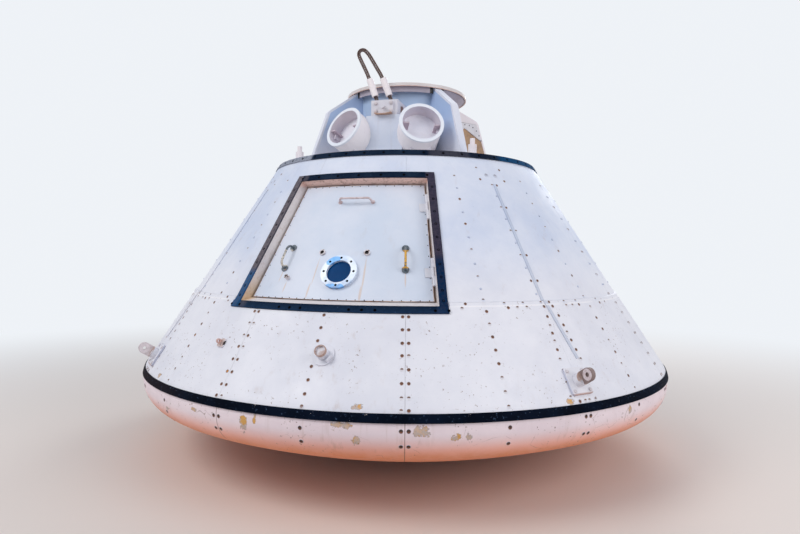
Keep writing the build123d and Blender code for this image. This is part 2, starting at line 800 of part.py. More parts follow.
# Mortar tubes: thick drums with a lip, a floor and two stop tabs
SIDES = (("right", 1), ("left", -1))
for name, side in SIDES:
    mouth = mortar_plane(side)
    bore_r = MORTAR_R - MORTAR_WALL
    with BuildPart() as tube:
        with BuildSketch(mouth.offset(-MORTAR_L)):
            Circle(MORTAR_R)
        extrude(amount=MORTAR_L)
        with BuildSketch(mouth.offset(-MORTAR_LIP_T)):
            Circle(MORTAR_R + MORTAR_LIP_W)
        extrude(amount=MORTAR_LIP_T)
        with BuildSketch(mouth.offset(-MORTAR_CUP)):
            Circle(bore_r)
        extrude(amount=MORTAR_CUP, mode=Mode.SUBTRACT)
        with BuildSketch(mouth.offset(-MORTAR_CUP)):
            for turn in (-side * TAB_TURN, 180 - side * TAB_TURN):
                with Locations(Location((0, 0, 0), (0, 0, turn)) * Location((bore_r - TAB_T / 2, 0, 0))):
                    Rectangle(2 * TAB_T, TAB_W)
        extrude(amount=TAB_H)
    keep(tube.part, f"mortar_tube_{name}")

# Pedestal between the tubes, hollowed to their shape
with BuildPart() as pedestal:
    with BuildSketch(Plane.XY.offset(DECK_Z)):
        with Locations((0, -PEDESTAL_OUT / 2)):
            Rectangle(PEDESTAL_W, PEDESTAL_OUT)
        Circle(TUNNEL_R + FIT, mode=Mode.SUBTRACT)
    extrude(amount=PEDESTAL_Z - DECK_Z)
    with BuildSketch(Plane.XY.offset(DECK_Z)):
        Circle(TUNNEL_R + TUNNEL_FOOT_W + FIT)
    extrude(amount=TUNNEL_FOOT_T + FIT, mode=Mode.SUBTRACT)
pedestal_part = pedestal.part
for name, side in SIDES:
    pedestal_part = pedestal_part - mortar_space(side)
keep(pedestal_part, "harness_pedestal")

# Saddles under the tubes, standing on the deck and set back behind the lips
cradle_parts = []
for name, side in SIDES:
    turn = radians(side * MORTAR_SPREAD)
    back = cos(radians(MORTAR_TILT)) * MORTAR_L / 2
    middle = (side * MORTAR_SIDE - back * sin(turn), -MORTAR_OUT + back * cos(turn), DECK_Z)
    with BuildPart() as cradle:
        with BuildSketch(Plane(middle, x_dir=(cos(turn), sin(turn), 0), z_dir=(0, 0, 1))):
            Rectangle(2 * CRADLE_HALF_W, CRADLE_L)
        extrude(amount=MORTAR_Z - DECK_Z - MORTAR_R / 2)
        with BuildSketch(Plane.XY.offset(DECK_Z)):
            with Locations((0, -PEDESTAL_OUT / 2)):
                Rectangle(PEDESTAL_W + 2 * FIT, PEDESTAL_OUT + 2 * FIT)
        extrude(amount=PEDESTAL_Z, mode=Mode.SUBTRACT)
    cradle_parts.append(cradle.part - mortar_space(side))
keep(Compound(children=cradle_parts), "mortar_cradles")

# Harness box on the pedestal, with two seats for the rope in its top
with BuildPart() as harness_box:
    with BuildSketch(Plane.XY.offset(PEDESTAL_Z)):
        with Locations((0, -BOX_OUT / 2)):
            RectangleRounded(BOX_W, BOX_OUT, BOX_ROUND)
        Circle(TUNNEL_R + FIT, mode=Mode.SUBTRACT)
        with Locations((0, TUNNEL_R)):
            Rectangle(2 * TUNNEL_R, 2 * TUNNEL_R, mode=Mode.SUBTRACT)
    extrude(amount=BOX_Z - PEDESTAL_Z)
    with BuildSketch(Plane.XY.offset(BOX_Z)):
        with Locations((ROPE_ROUTE[0][0], -ROPE_OUT), (ROPE_ROUTE[-1][0], -ROPE_OUT)):
            Circle(ROPE_HOLE_R)
    extrude(amount=-ROPE_SEAT, mode=Mode.SUBTRACT)
keep(harness_box.part, "harness_box")

# Clamp plate on the front of the box
with BuildPart() as clamp_plate:
    with BuildSketch(Plane.XZ.offset(BOX_OUT)):
        with Locations((0, BOX_Z - BOX_H / 2)):
            RectangleRounded(CLAMP_W, CLAMP_H, BOX_ROUND / 2)
    extrude(amount=CLAMP_T)
    with BuildSketch(Plane.XZ.offset(BOX_OUT + CLAMP_T)):
        with Locations((0, BOX_Z - BOX_H / 2)):
            Circle(PEG_R)
    extrude(amount=PEG_L)
keep(clamp_plate.part, "clamp_plate")

# Rope loop: two stiff steel ropes side by side, from one seat round to the other
rope_points = [(x, BOX_Z + rise) for x, rise in ROPE_ROUTE]
corner_radii = []
for before, corner, after in zip(rope_points, rope_points[1:], rope_points[2:]):
    run_in = Vector(corner) - Vector(before)
    run_out = Vector(after) - Vector(corner)
    half_turn = radians(run_in.get_angle(run_out)) / 2
    share = LEG_BEND if before == rope_points[0] or after == rope_points[-1] else ROPE_BEND
    corner_radii.append(share * min(run_in.length, run_out.length) / tan(half_turn))
print("rope corner radii", [round(radius) for radius in corner_radii])
# columns: name, side of the route on which the rope runs
for name, side in (("outer", Side.RIGHT), ("inner", Side.LEFT)):
    with BuildPart() as rope:
        with BuildLine(Plane.XZ.offset(ROPE_OUT)) as route:
            FilletPolyline(*rope_points, radius=corner_radii)
            offset(amount=ROPE_SIDE, side=side, closed=False)
        with BuildSketch(Plane(route.line @ 0, z_dir=route.line % 0)):
            Circle(ROPE_R)
        sweep()
    length = sum(edge.length for edge in route.edges())
    ratio = rope.part.volume / (pi * ROPE_R**2 * length)
    print("rope", name, "length", round(length), "volume ratio", round(ratio, 4))
    keep(rope.part, f"rope_{name}")

# Sleeves that hold the two legs of the loop upright
sleeve_bore_r = ROPE_SIDE + ROPE_R + FIT
sleeve_parts = []
for start, following in ((rope_points[0], rope_points[1]), (rope_points[-1], rope_points[-2])):
    along = Vector(following[0] - start[0], 0, following[1] - start[1]).normalized()
    foot = Vector(start[0], -ROPE_OUT, start[1]) + along * SLEEVE_RISE
    with BuildPart() as sleeve:
        with BuildSketch(Plane(foot, z_dir=along)):
            Circle(SLEEVE_R)
            Circle(sleeve_bore_r, mode=Mode.SUBTRACT)
        extrude(amount=SLEEVE_L)
    sleeve_parts.append(sleeve.part)
keep(Compound(children=sleeve_parts), "rope_sleeves")

# Leg posts: a stud on a round base outboard of each gusset
post_parts = []
for name, az, turn in FRONT_GUSSETS + REAR_GUSSETS:
    with BuildPart() as post:
        with BuildSketch(deck_plane(az, POST_PCR, DECK_Z)):
            Circle(POST_PLATE_R)
        extrude(amount=POST_PLATE_T)
        with BuildSketch(deck_plane(az, POST_PCR, DECK_Z)):
            Circle(POST_BASE_R)
        extrude(amount=POST_BASE_Z - DECK_Z)
        with BuildSketch(deck_plane(az, POST_PCR, POST_BASE_Z)):
            Circle(POST_STUD_R)
        extrude(amount=POST_STUD_Z - POST_BASE_Z)
    post_parts.append(post.part)
keep(Compound(children=post_parts), "leg_posts")


def edge_on(base):
    """Plane square to a skin plane: x runs straight out and y runs up the slope."""
    return Plane(base.origin, x_dir=base.z_dir, z_dir=base.x_dir * -1)


# Lift lugs: a bolted plate, a round boss and a tongue with an eye
for name, az, turn in FRONT_GUSSETS + REAR_GUSSETS:
    seat = skin_plane(az, LUG_Z, -LOWER_PROUD - FIT)
    with BuildPart() as lug:
        with BuildSketch(seat):
            RectangleRounded(LUG_PLATE_W, LUG_PLATE_H, LUG_PLATE_T)
        extrude(amount=LUG_PLATE_T)
        with BuildSketch(seat.offset(LUG_PLATE_T)):
            Circle(LUG_BOSS_R)
        extrude(amount=LUG_BOSS_T)
        with BuildSketch(edge_on(seat)):
            with Locations((LUG_REACH / 2, 0)):
                Rectangle(LUG_REACH, 2 * LUG_TONGUE_R)
            with Locations((LUG_REACH, 0)):
                Circle(LUG_TONGUE_R)
                Circle(LUG_EYE_R, mode=Mode.SUBTRACT)
        extrude(amount=LUG_TONGUE_T / 2, both=True)
    keep(lug.part, f"lift_lug_{name}")

# Small tie lug on the front panel
seat = skin_plane(TIE_AZ, TIE_Z, -LOWER_PROUD - FIT)
with BuildPart() as tie_lug:
    with BuildSketch(seat):
        RectangleRounded(TIE_PLATE, TIE_PLATE, TIE_PLATE_T)
    extrude(amount=TIE_PLATE_T)
    with BuildSketch(edge_on(seat)):
        with Locations((TIE_REACH / 2, 0)):
            Rectangle(TIE_REACH, 2 * TIE_R)
        with Locations((TIE_REACH, 0)):
            Circle(TIE_R)
            Circle(TIE_EYE_R, mode=Mode.SUBTRACT)
    extrude(amount=TIE_PLATE_T / 2, both=True)
keep(tie_lug.part, "tie_lug")

# Hollow stub on a round pad, with a small folded tab beside it
seat = skin_plane(STUB_AZ, STUB_Z, -LOWER_PROUD - FIT)
tab_dir = seat.x_dir.rotate(Axis((0, 0, 0), seat.z_dir), STUB_TAB_TURN)
tab_seat = Plane(seat.origin, x_dir=tab_dir, z_dir=seat.z_dir)
with BuildPart() as stub_fitting:
    with BuildSketch(seat):
        Circle(STUB_PAD_R)
    extrude(amount=STUB_PAD_T)
    with BuildSketch(seat):
        Circle(STUB_R)
    extrude(amount=STUB_L)
    with BuildSketch(seat.offset(STUB_L - STUB_BORE)):
        Circle(STUB_R - STUB_WALL)
    extrude(amount=STUB_BORE, mode=Mode.SUBTRACT)
    with BuildSketch(tab_seat):
        with Locations((STUB_TAB_OUT, 0)):
            Rectangle(STUB_TAB_T, STUB_TAB_W)
    extrude(amount=STUB_TAB_H)
keep(stub_fitting.part, "stub_fitting")

# Crew hatch: one thick curved panel with a raised pad round the porthole
door_low = sill_foot + DOOR_GAP * up
door_high = HATCH_HEAD_Z - DOOR_GAP * up
door_half = HATCH_HALF_AZ - degrees(DOOR_GAP / cone_r(door_high, REVEAL_DEPTH + DOOR_T))
drop = sin(radians(CONE_ANGLE))


def door_plane(az, z, rise=0.0):
    """Plane on the hatch's outer face, at a point of height z on that face."""
    return skin_plane(az, z + REVEAL_DEPTH * drop, REVEAL_DEPTH - rise)


door_outline = (
    under(door_low, REVEAL_DEPTH),
    under(door_high, REVEAL_DEPTH),
    under(door_high, REVEAL_DEPTH + DOOR_T),
    under(door_low, REVEAL_DEPTH + DOOR_T),
)
with BuildPart() as port_pad:
    with BuildSketch(door_plane(0, PORT_Z, -DOOR_T / 2)):
        Circle(PORT_FLANGE_R + PORT_PAD_W)
    extrude(amount=DOOR_T / 2)
with BuildPart() as port_bore:
    with BuildSketch(door_plane(0, PORT_Z, -2 * DOOR_T)):
        Circle(PORT_BORE_R)
    extrude(amount=4 * DOOR_T)
hatch_panel = sector(door_outline, -door_half, door_half) + port_pad.part - port_bore.part
keep(hatch_panel, "hatch_panel")

# Porthole: a flange ring over a pane in the bore
with BuildPart() as port_flange:
    with BuildSketch(door_plane(0, PORT_Z, FIT)):
        Circle(PORT_FLANGE_R)
        Circle(PORT_GLASS_R, mode=Mode.SUBTRACT)
    extrude(amount=PORT_FLANGE_T)
keep(port_flange.part, "port_flange")
with BuildPart() as port_glass:
    with BuildSketch(door_plane(0, PORT_Z, -PORT_GLASS_T)):
        Circle(PORT_BORE_R - FIT)
    extrude(amount=PORT_GLASS_T)
keep(port_glass.part, "port_glass")

# Grab handles: bent bars on round feet, one at each side of the hatch
grab_parts = []
for side in (1, -1):
    low = door_plane(side * GRAB_AZ, GRAB_LOW_Z, FIT)
    span = (GRAB_HIGH_Z - GRAB_LOW_Z) / up
    with BuildPart() as grab:
        with BuildSketch(low):
            with Locations((0, 0), (0, span)):
                Circle(GRAB_FLANGE_R)
        extrude(amount=GRAB_FLANGE_T)
        with BuildLine(edge_on(low)) as bar:
            FilletPolyline((0, 0), (GRAB_REACH, 0), (GRAB_REACH, span), (0, span), radius=GRAB_BEND_R)
        with BuildSketch(Plane(bar.line @ 0, z_dir=bar.line % 0)):
            Circle(GRAB_BAR_R)
        sweep()
    grab_parts.append(grab.part)
keep(Compound(children=grab_parts), "grab_handles")

# Pull handle: a bent rod on two round feet, high on the hatch
middle = door_plane(0, PULL_Z, FIT)
pull_r = cone_r(PULL_Z + REVEAL_DEPTH * drop, REVEAL_DEPTH)
pull_half = pull_r * sin(radians(PULL_AZ))
pull_sink = pull_r * (1 - cos(radians(PULL_AZ))) * up
with BuildPart() as pull_handle:
    for side in (-1, 1):
        with BuildSketch(door_plane(side * PULL_AZ, PULL_Z, FIT)):
            Circle(PULL_FOOT_R)
        extrude(amount=PULL_FOOT_T)
    with BuildLine(Plane(middle.origin, x_dir=middle.x_dir, z_dir=middle.y_dir * -1)) as bar:
        FilletPolyline(
            (-pull_half, PULL_FOOT_T / 2 - pull_sink),
            (-pull_half + PULL_LEAN, PULL_REACH),
            (pull_half - PULL_LEAN, PULL_REACH),
            (pull_half, PULL_FOOT_T / 2 - pull_sink),
            radius=PULL_BEND_R,
        )
    with BuildSketch(Plane(bar.line @ 0, z_dir=bar.line % 0)):
        Circle(PULL_BAR_R)
    sweep()
keep(pull_handle.part, "pull_handle")

# Latch sockets and a small spigot
socket_parts = []
for side in (1, -1):
    with BuildPart() as socket:
        with BuildSketch(door_plane(side * SOCKET_AZ, SOCKET_Z, FIT)):
            Circle(SOCKET_R)
            Circle(SOCKET_BORE_R, mode=Mode.SUBTRACT)
        extrude(amount=SOCKET_T)
    socket_parts.append(socket.part)
with BuildPart() as spigot:
    with BuildSketch(door_plane(SPIGOT_AZ, SPIGOT_Z, FIT)):
        Circle(SPIGOT_R)
    extrude(amount=SPIGOT_L)
socket_parts.append(spigot.part)
keep(Compound(children=socket_parts), "latch_sockets")

# Hatch hinges: two sets of knuckles on pins in the corner of the reveal
pin_x = -(HINGE_R + KNUCKLE_GAP + FIT)
leaf_parts = []
bracket_parts = []
for fraction in HINGE_PLACES:
    z = door_low + (door_high - door_low) * fraction
    frame = skin_plane(HATCH_HALF_AZ, z, REVEAL_DEPTH - FIT)
    cross = Plane(frame.origin, x_dir=frame.x_dir, z_dir=frame.y_dir * -1)
    with BuildPart() as leaf:
        with BuildSketch(cross):
            with Locations((pin_x, HINGE_RISE)):
                Circle(HINGE_R)
            with Locations((pin_x - HINGE_R / 2, HINGE_RISE / 2)):
                Rectangle(HINGE_R, HINGE_RISE)
            with Locations((pin_x - HINGE_LEAF_W / 2, HINGE_LEAF_T / 2)):
                Rectangle(HINGE_LEAF_W, HINGE_LEAF_T)
            with Locations((pin_x, HINGE_RISE)):
                Circle(PIN_R + PIN_FIT, mode=Mode.SUBTRACT)
        extrude(amount=KNUCKLE_L / 2, both=True)
    leaf_parts.append(leaf.part)
    with BuildPart() as bracket:
        for step in (-1, 1):
            shift = step * (KNUCKLE_L + KNUCKLE_GAP)
            with BuildSketch(cross.offset(shift)):
                with Locations((pin_x, HINGE_RISE)):
                    Circle(HINGE_R)
                with Locations((pin_x / 2, HINGE_RISE)):
                    Rectangle(-pin_x, 2 * HINGE_R)
            extrude(amount=KNUCKLE_L / 2, both=True)
        with BuildSketch(cross):
            with Locations((pin_x, HINGE_RISE)):
                Circle(PIN_R)
        extrude(amount=1.5 * KNUCKLE_L, both=True)
    bracket_parts.append(bracket.part)
keep(Compound(children=leaf_parts), "hinge_leaves")
keep(Compound(children=bracket_parts), "hinge_brackets")
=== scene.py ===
# %% [markdown]
# # A weathered space capsule
# The object is a full-size test capsule: a blunt cone of painted steel plate that has stood outdoors for
# decades. Its rigid body comes ready from CAD. This notebook gives it paint, bolts, stains and wire ropes.
# Everything is in metres, the capsule's axis is Z, and the hatch faces -Y. Azimuth is counted from the
# hatch's middle towards +X, which is to the right in the picture.

from types import SimpleNamespace

import bpy
import numpy as np
from mathutils import Matrix, Vector


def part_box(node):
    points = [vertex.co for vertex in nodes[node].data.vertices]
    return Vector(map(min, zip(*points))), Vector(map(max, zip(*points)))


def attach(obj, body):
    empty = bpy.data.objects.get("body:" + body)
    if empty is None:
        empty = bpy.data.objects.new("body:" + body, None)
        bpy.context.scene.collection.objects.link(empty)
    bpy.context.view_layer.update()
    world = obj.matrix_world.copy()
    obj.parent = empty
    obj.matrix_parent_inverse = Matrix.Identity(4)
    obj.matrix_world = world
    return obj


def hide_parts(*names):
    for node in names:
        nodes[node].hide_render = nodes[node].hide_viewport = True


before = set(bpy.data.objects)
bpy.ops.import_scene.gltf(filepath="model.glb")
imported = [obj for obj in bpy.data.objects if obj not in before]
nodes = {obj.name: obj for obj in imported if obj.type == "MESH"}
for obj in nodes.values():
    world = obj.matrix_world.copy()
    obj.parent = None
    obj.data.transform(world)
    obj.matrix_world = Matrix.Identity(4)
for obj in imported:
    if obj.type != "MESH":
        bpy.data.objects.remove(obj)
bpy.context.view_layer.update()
stage_scene = bpy.context.scene

# %% [markdown]
# ## Camera
# The picture was taken from 4.8 m off the axis with the lens 1.4 m up, a little to the right of the hatch.
# The lens is wide, which is why the near skirt looks so broad under a small rim. The camera is put
# together from four plain turns: level, tip, heading and roll.

# %% Camera
LENS_MM, SENSOR_MM = 26.49, 36.0
STAND_OFF, LENS_HEIGHT = 4.7963, 1.4029
STAND_AZIMUTH = np.radians(15.38)
HEADING, TIP, ROLL = np.radians((15.906, -1.031, 0.478))

lens = bpy.data.cameras.new("camera")
lens.lens, lens.sensor_width = LENS_MM, SENSOR_MM
camera = bpy.data.objects.new("camera", lens)
stage_scene.collection.objects.link(camera)
stage_scene.camera = camera
stand = (STAND_OFF * np.sin(STAND_AZIMUTH), -STAND_OFF * np.cos(STAND_AZIMUTH), LENS_HEIGHT)
level, tip, roll = (Matrix.Rotation(*turn) for turn in ((HEADING, 4, "Z"), (np.pi / 2 + TIP, 4, "X"), (ROLL, 4, "Z")))
camera.matrix_world = Matrix.Translation(stand) @ level @ tip @ roll
print("camera stands at", [round(float(v), 3) for v in stand])

# %% [markdown]
# ## Meshes from arrays
# Every new piece is worked out with numpy and handed to Blender in one go. Most of them are a grid: one
# parameter runs along the piece, the other round its section. These helpers turn such a grid of points
# into a mesh, and close its two ends, a round tube with a pole each and a square bar with one face each.


# %% Mesh helpers
def join_grid(rows, columns):
    """Quads of a grid of rows x columns points whose columns run round and close; faces point outwards
    where the rows go up and the columns run anticlockwise seen from above."""
    lower = np.arange(rows - 1)[:, None] * columns + np.arange(columns)
    beside = np.arange(rows - 1)[:, None] * columns + (np.arange(columns) + 1) % columns
    return np.stack([lower, beside, beside + columns, lower + columns], axis=-1).reshape(-1, 4)


def tube_faces(rows, around):
    """A closed tube's quads, and the fans round its two poles, which are the last two points."""
    turn, total = np.arange(around), rows * around
    after, last = (turn + 1) % around, total - around
    foot = np.stack([np.full(around, total), after, turn], axis=1)
    top = np.stack([np.full(around, total + 1), last + turn, last + after], axis=1)
    return [join_grid(rows, around), np.concatenate([foot, top])]


def bar_faces(rows):
    """A closed bar of rows of four points: its sides, then its two square ends."""
    last = 4 * rows - 4
    return np.concatenate([join_grid(rows, 4), [[0, 3, 2, 1], [last, last + 1, last + 2, last + 3]]])


def unit(vectors):
    """Vectors divided by their own lengths."""
    return vectors / np.linalg.norm(vectors, axis=-1, keepdims=True)


def circles(angle, first, second):
    """A circle for each row: cosine of the angle times one direction, plus sine times the other."""
    return np.cos(angle)[None, :, None] * first[:, None] + np.sin(angle)[None, :, None] * second[:, None]


def make_piece(name, vertices, faces, body="capsule", shares=None, paint=None, flat=False):
    """A mesh object from arrays: vertices (n, 3), faces as a list of index arrays, one body to ride on, up to
    a few named values for each vertex, kept as attributes, and its finish."""
    mesh = bpy.data.meshes.new(name)
    mesh.from_pydata(vertices.tolist(), [], [face for group in faces for face in group.tolist()])
    for label, values in (shares or {}).items():
        layer = mesh.attributes.new(label, "FLOAT", "POINT")
        layer.data.foreach_set("value", np.asarray(values, dtype=np.float32))
    mesh.shade_flat() if flat else mesh.shade_smooth()
    if paint:
        mesh.materials.append(paint)
    piece = bpy.data.objects.new(name, mesh)
    stage_scene.collection.objects.link(piece)
    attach(piece, body)
    print(f"{name}: {len(mesh.vertices)} points, {len(mesh.polygons)} faces")
    return piece


# %% [markdown]
# ## Lifting ropes
# Two wire ropes, laid side by side, rise from the harness box, pass through a pair of sleeves and meet in
# one narrow loop, bent over to the left. A wire rope is six strands twisted round a core. It could be one
# smooth tube with a bump map, but the strands catch the light one by one, so each gets its own surface.
# The middle line is a smooth spline through the same route as in CAD, in the plane of the two sleeves.

# %% The ropes' middle lines
ROPE_PLANE_Y, BOX_TOP_Z = -0.560, 2.516
ROPE_RADIUS, ROPE_SIDE = 0.007, 0.0072
ROPE_POINTS = 261
ROPE_ROUTE = np.array(
    [(-0.065, -0.0028), (-0.129, 0.176), (-0.174, 0.270), (-0.204, 0.330), (-0.214, 0.360), (-0.202, 0.383),
     (-0.172, 0.387), (-0.141, 0.358), (-0.114, 0.316), (-0.080, 0.258), (-0.024, 0.166), (0.041, -0.0028)]
)


def route_beside(route, side):
    """The route moved sideways in its own plane: each point goes by `side` along the normal of the chord
    between its two neighbours, which is the turned and shortened difference of those neighbours."""
    chord = np.gradient(route, axis=0)
    return route + side * unit(np.stack([-chord[:, 1], chord[:, 0]], axis=1))


def run_along(line):
    """The length of a line from its start to each of its points."""
    return np.concatenate([[0], np.cumsum(np.linalg.norm(np.diff(line, axis=0), axis=1))])


def middle_line(name, route):
    """Points of the NURBS spline that has the route as control points, evenly spaced, (n, 3)."""
    curve = bpy.data.curves.new(name, "CURVE")
    curve.dimensions = "3D"
    curve.resolution_u = 24
    spline = curve.splines.new("NURBS")
    spline.points.add(len(route) - 1)
    flat = np.full(len(route), ROPE_PLANE_Y)
    places = np.column_stack([route[:, 0], flat, BOX_TOP_Z + route[:, 1], np.ones(len(route))])
    spline.points.foreach_set("co", places.ravel())
    spline.order_u = 3
    spline.use_endpoint_u = True
    carrier = bpy.data.objects.new(name, curve)
    mesh = bpy.data.meshes.new_from_object(carrier)
    raw = np.empty(len(mesh.vertices) * 3)
    mesh.vertices.foreach_get("co", raw)
    raw = raw.reshape(-1, 3)
    bpy.data.objects.remove(carrier)
    bpy.data.curves.remove(curve)
    bpy.data.meshes.remove(mesh)
    run = run_along(raw)
    even = np.linspace(0, run[-1], ROPE_POINTS)
    return np.column_stack([np.interp(even, run, raw[:, axis]) for axis in range(3)])


# %% Strands
STRANDS, AROUND_STRAND, LAY_LENGTH = 6, 8, 0.105
CAP_OUT = 0.2


def rope_surface(line):
    """Six strands and a core round the middle line. A strand's middle turns about the line at two thirds of
    the rope's radius, once in each lay length; its own surface is a circle of one third of the radius."""
    run = run_along(line)
    level = np.tile([0.0, 1.0, 0.0], (len(line), 1))
    across = np.cross(unit(np.gradient(line, axis=0)), level)
    angle = np.linspace(0, 2 * np.pi, AROUND_STRAND, endpoint=False)
    thin = ROPE_RADIUS / 3
    size = len(line) * AROUND_STRAND + 2
    vertices, faces = [], []
    for strand in range(STRANDS + 1):
        reach = 0 if strand == STRANDS else 2 * thin
        phase = 2 * np.pi * (run / LAY_LENGTH + strand / STRANDS)
        outward = np.cos(phase)[:, None] * across + np.sin(phase)[:, None] * level
        middle = line + reach * outward
        heading = unit(np.gradient(middle, axis=0))
        tube = middle[:, None] + thin * circles(angle, outward, np.cross(heading, outward))
        poles = middle[[0, -1]] + CAP_OUT * thin * heading[[0, -1]] * [[-1], [1]]
        vertices += [tube.reshape(-1, 3), poles]
        faces += [group + strand * size for group in tube_faces(len(line), AROUND_STRAND)]
    along = np.concatenate([np.repeat(run, AROUND_STRAND), run[[0, -1]]])
    turn = np.concatenate([np.tile(angle, len(line)), [0, 0]])
    shares = {"along": np.tile(along, STRANDS + 1), "round": np.tile(turn, STRANDS + 1)}
    return np.concatenate(vertices), faces, shares


# %% Lay both ropes
ROPES = (("outer", ROPE_SIDE, 0.914), ("inner", -ROPE_SIDE, 0.870))
ropes = []
for label, side, whole_length in ROPES:
    line = middle_line(f"rope_{label}_line", route_beside(ROPE_ROUTE, side))
    surface, patches, shares = rope_surface(line)
    rope = make_piece(f"wire_rope_{label}", surface, patches, "capsule", shares)
    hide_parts(f"rope_{label}")
    ropes.append(rope)
    print(f"rope {label}: spline {run_along(line)[-1]:.3f} m")

# %% [markdown]
# ## Formulas out of nodes
# Paint is worked out by shader nodes. So that a finish reads like a formula, a socket is wrapped in a Value:
# a plus or a times between two of them adds the Math node that does it, in the tree that the socket is in.

# %% Node helpers
BUMP = 0.0015


class Value:
    """A socket to write formulas with: each operator adds one Math node to the socket's own tree."""

    def __init__(self, socket):
        self.socket, self.tree = socket, socket.id_data

    def __add__(self, other):
        return maths("ADD", self, other)

    def __sub__(self, other):
        return maths("SUBTRACT", self, other)

    def __rsub__(self, other):
        return maths("SUBTRACT", other, self)

    def __mul__(self, other):
        return maths("MULTIPLY", self, other)

    def __truediv__(self, other):
        return maths("DIVIDE", self, other)

    def __abs__(self):
        return maths("ABSOLUTE", self)


def wire(socket, value):
    """Link a socket to a Value, or give it a plain number, place or colour; None leaves it as it is."""
    if isinstance(value, Value):
        value.tree.links.new(value.socket, socket)
    elif value is not None:
        socket.default_value = (*value, 1) if socket.type == "RGBA" else value


def new_node(kind, *values, **settings):
    """A node in the tree of the first Value among its inputs, with its settings by name."""
    tree = next(value.tree for value in values if isinstance(value, Value))
    node = tree.nodes.new(f"ShaderNode{kind}")
    for label, setting in settings.items():
        setattr(node, label, setting)
    for socket, value in zip(node.inputs, values):
        wire(socket, value)
    return node


def maths(operation, *values):
    """The result of one Math node."""
    return Value(new_node("Math", *values, operation=operation).outputs[0])


def vector_maths(operation, *values, output=0):
    """The result of one vector node: output 0 is a vector, output 1 a number."""
    return Value(new_node("VectorMath", *values, operation=operation).outputs[output])


def length(place):
    """The square root of the sum of the squared coordinates."""
    return vector_maths("LENGTH", place, output=1)


def split(place):
    """The three coordinates of a place."""
    return [Value(socket) for socket in new_node("SeparateXYZ", place).outputs]


def join(*values):
    """A place put together from its coordinates; those left out are 0."""
    return Value(new_node("CombineXYZ", *values).outputs[0])


def rise(value, low, high):
    """A smooth step from 0 at low to 1 at high, or back down where high is the smaller one."""
    return Value(new_node("MapRange", value, low, high, interpolation_type="SMOOTHSTEP").outputs[0])


def mix(share, first, second):
    """The first colour at share 0, the second at 1. A Mix node's colours are its last two inputs."""
    return Value(new_node("Mix", share, *[None] * 5, first, second, data_type="RGBA").outputs[2])


def grain(place, scale, detail=4.0, roughness=0.55, stretch=None):
    """Noise with so many features to the metre; stretch squeezes the place first, to draw it out."""
    if stretch is not None:
        place = Value(new_node("Mapping", place, None, None, stretch).outputs[0])
    return Value(new_node("TexNoise", place, None, scale, detail, roughness).outputs["Fac"])


def patchy(place, scale, low, high, *looks):
    """Noise turned into patches: 0 below low, 1 above high. Looks are what grain takes after the scale."""
    return rise(grain(place, scale, *looks), low, high)


def feed(place, colour, roughness, height=None, depth=BUMP, **plain):
    """Give a finish's shader its colour, roughness, a bump whose full height is so many metres, and plain
    values by name. A paint in place of the roughness gives its own roughness and height."""
    if isinstance(roughness, SimpleNamespace):
        roughness, height = roughness.roughness, height or roughness.height
    inputs = place.tree.nodes["Principled BSDF"].inputs
    wire(inputs["Base Color"], colour)
    wire(inputs["Roughness"], roughness)
    for label, value in plain.items():
        inputs[label.replace("_", " ")].default_value = value
    if height:
        bump = height.tree.nodes.new("ShaderNodeBump")
        for label, value in (("Distance", depth), ("Strength", 1.0), ("Height", height)):
            wire(bump.inputs[label], value)
        wire(inputs["Normal"], Value(bump.outputs[0]))
    return place.material


def new_finish(name):
    """A new material's Object coordinates, which carry the material with them."""
    material = bpy.data.materials.new(name)
    material.use_nodes = True
    place = Value(material.node_tree.nodes.new("ShaderNodeTexCoord").outputs["Object"])
    place.material = material
    return place


# %% [markdown]
# ## Studio
# The capsule stands outdoors under a bright cloudy sky on warm, reddish ground. A pale blue world and a
# pale warm floor give the same mood with plain means: tops turn cool, the dished base turns warm. Three
# large soft lamps add shape. The backdrop's brightness is seen by the camera alone, so it adds no light.

# %% World, floor and lamps
SKY, BACKDROP, FLOOR_PAINT = (0.77, 0.85, 0.97), (0.86, 0.89, 0.93), (0.74, 0.66, 0.61)
SKY_STRENGTH = 0.56
FLOOR_HALF, FADE_FROM, FADE_TO = 90, 2.4, 9.0
LAMP_SIZE, LAMP_AIM = 5.0, Vector((0, 0, 1.2))
LAMPS = (
    ("key", (-4.5, -6.5, 7.5), 385.0, (1.0, 0.985, 0.96)),
    ("fill", (7.5, -3.5, 4.5), 225.0, (1.0, 0.97, 0.95)),
    ("back", (2.0, 8.0, 6.0), 270.0, (0.95, 0.98, 1.0)),
)


def ray_kinds(tree, *kinds):
    """1 for a ray of any of these kinds."""
    path = tree.nodes.new("ShaderNodeLightPath")
    seen = Value(path.outputs[f"Is {kinds[0]} Ray"])
    for kind in kinds[1:]:
        seen = maths("MAXIMUM", seen, Value(path.outputs[f"Is {kind} Ray"]))
    return seen


world = bpy.data.worlds.new("studio")
stage_scene.world = world
world.use_nodes = True
seen = ray_kinds(world.node_tree, "Camera", "Glossy", "Transmission")
background = world.node_tree.nodes["Background"]
wire(background.inputs["Color"], mix(seen, SKY, BACKDROP))
wire(background.inputs["Strength"], seen * (1 - SKY_STRENGTH) + SKY_STRENGTH)

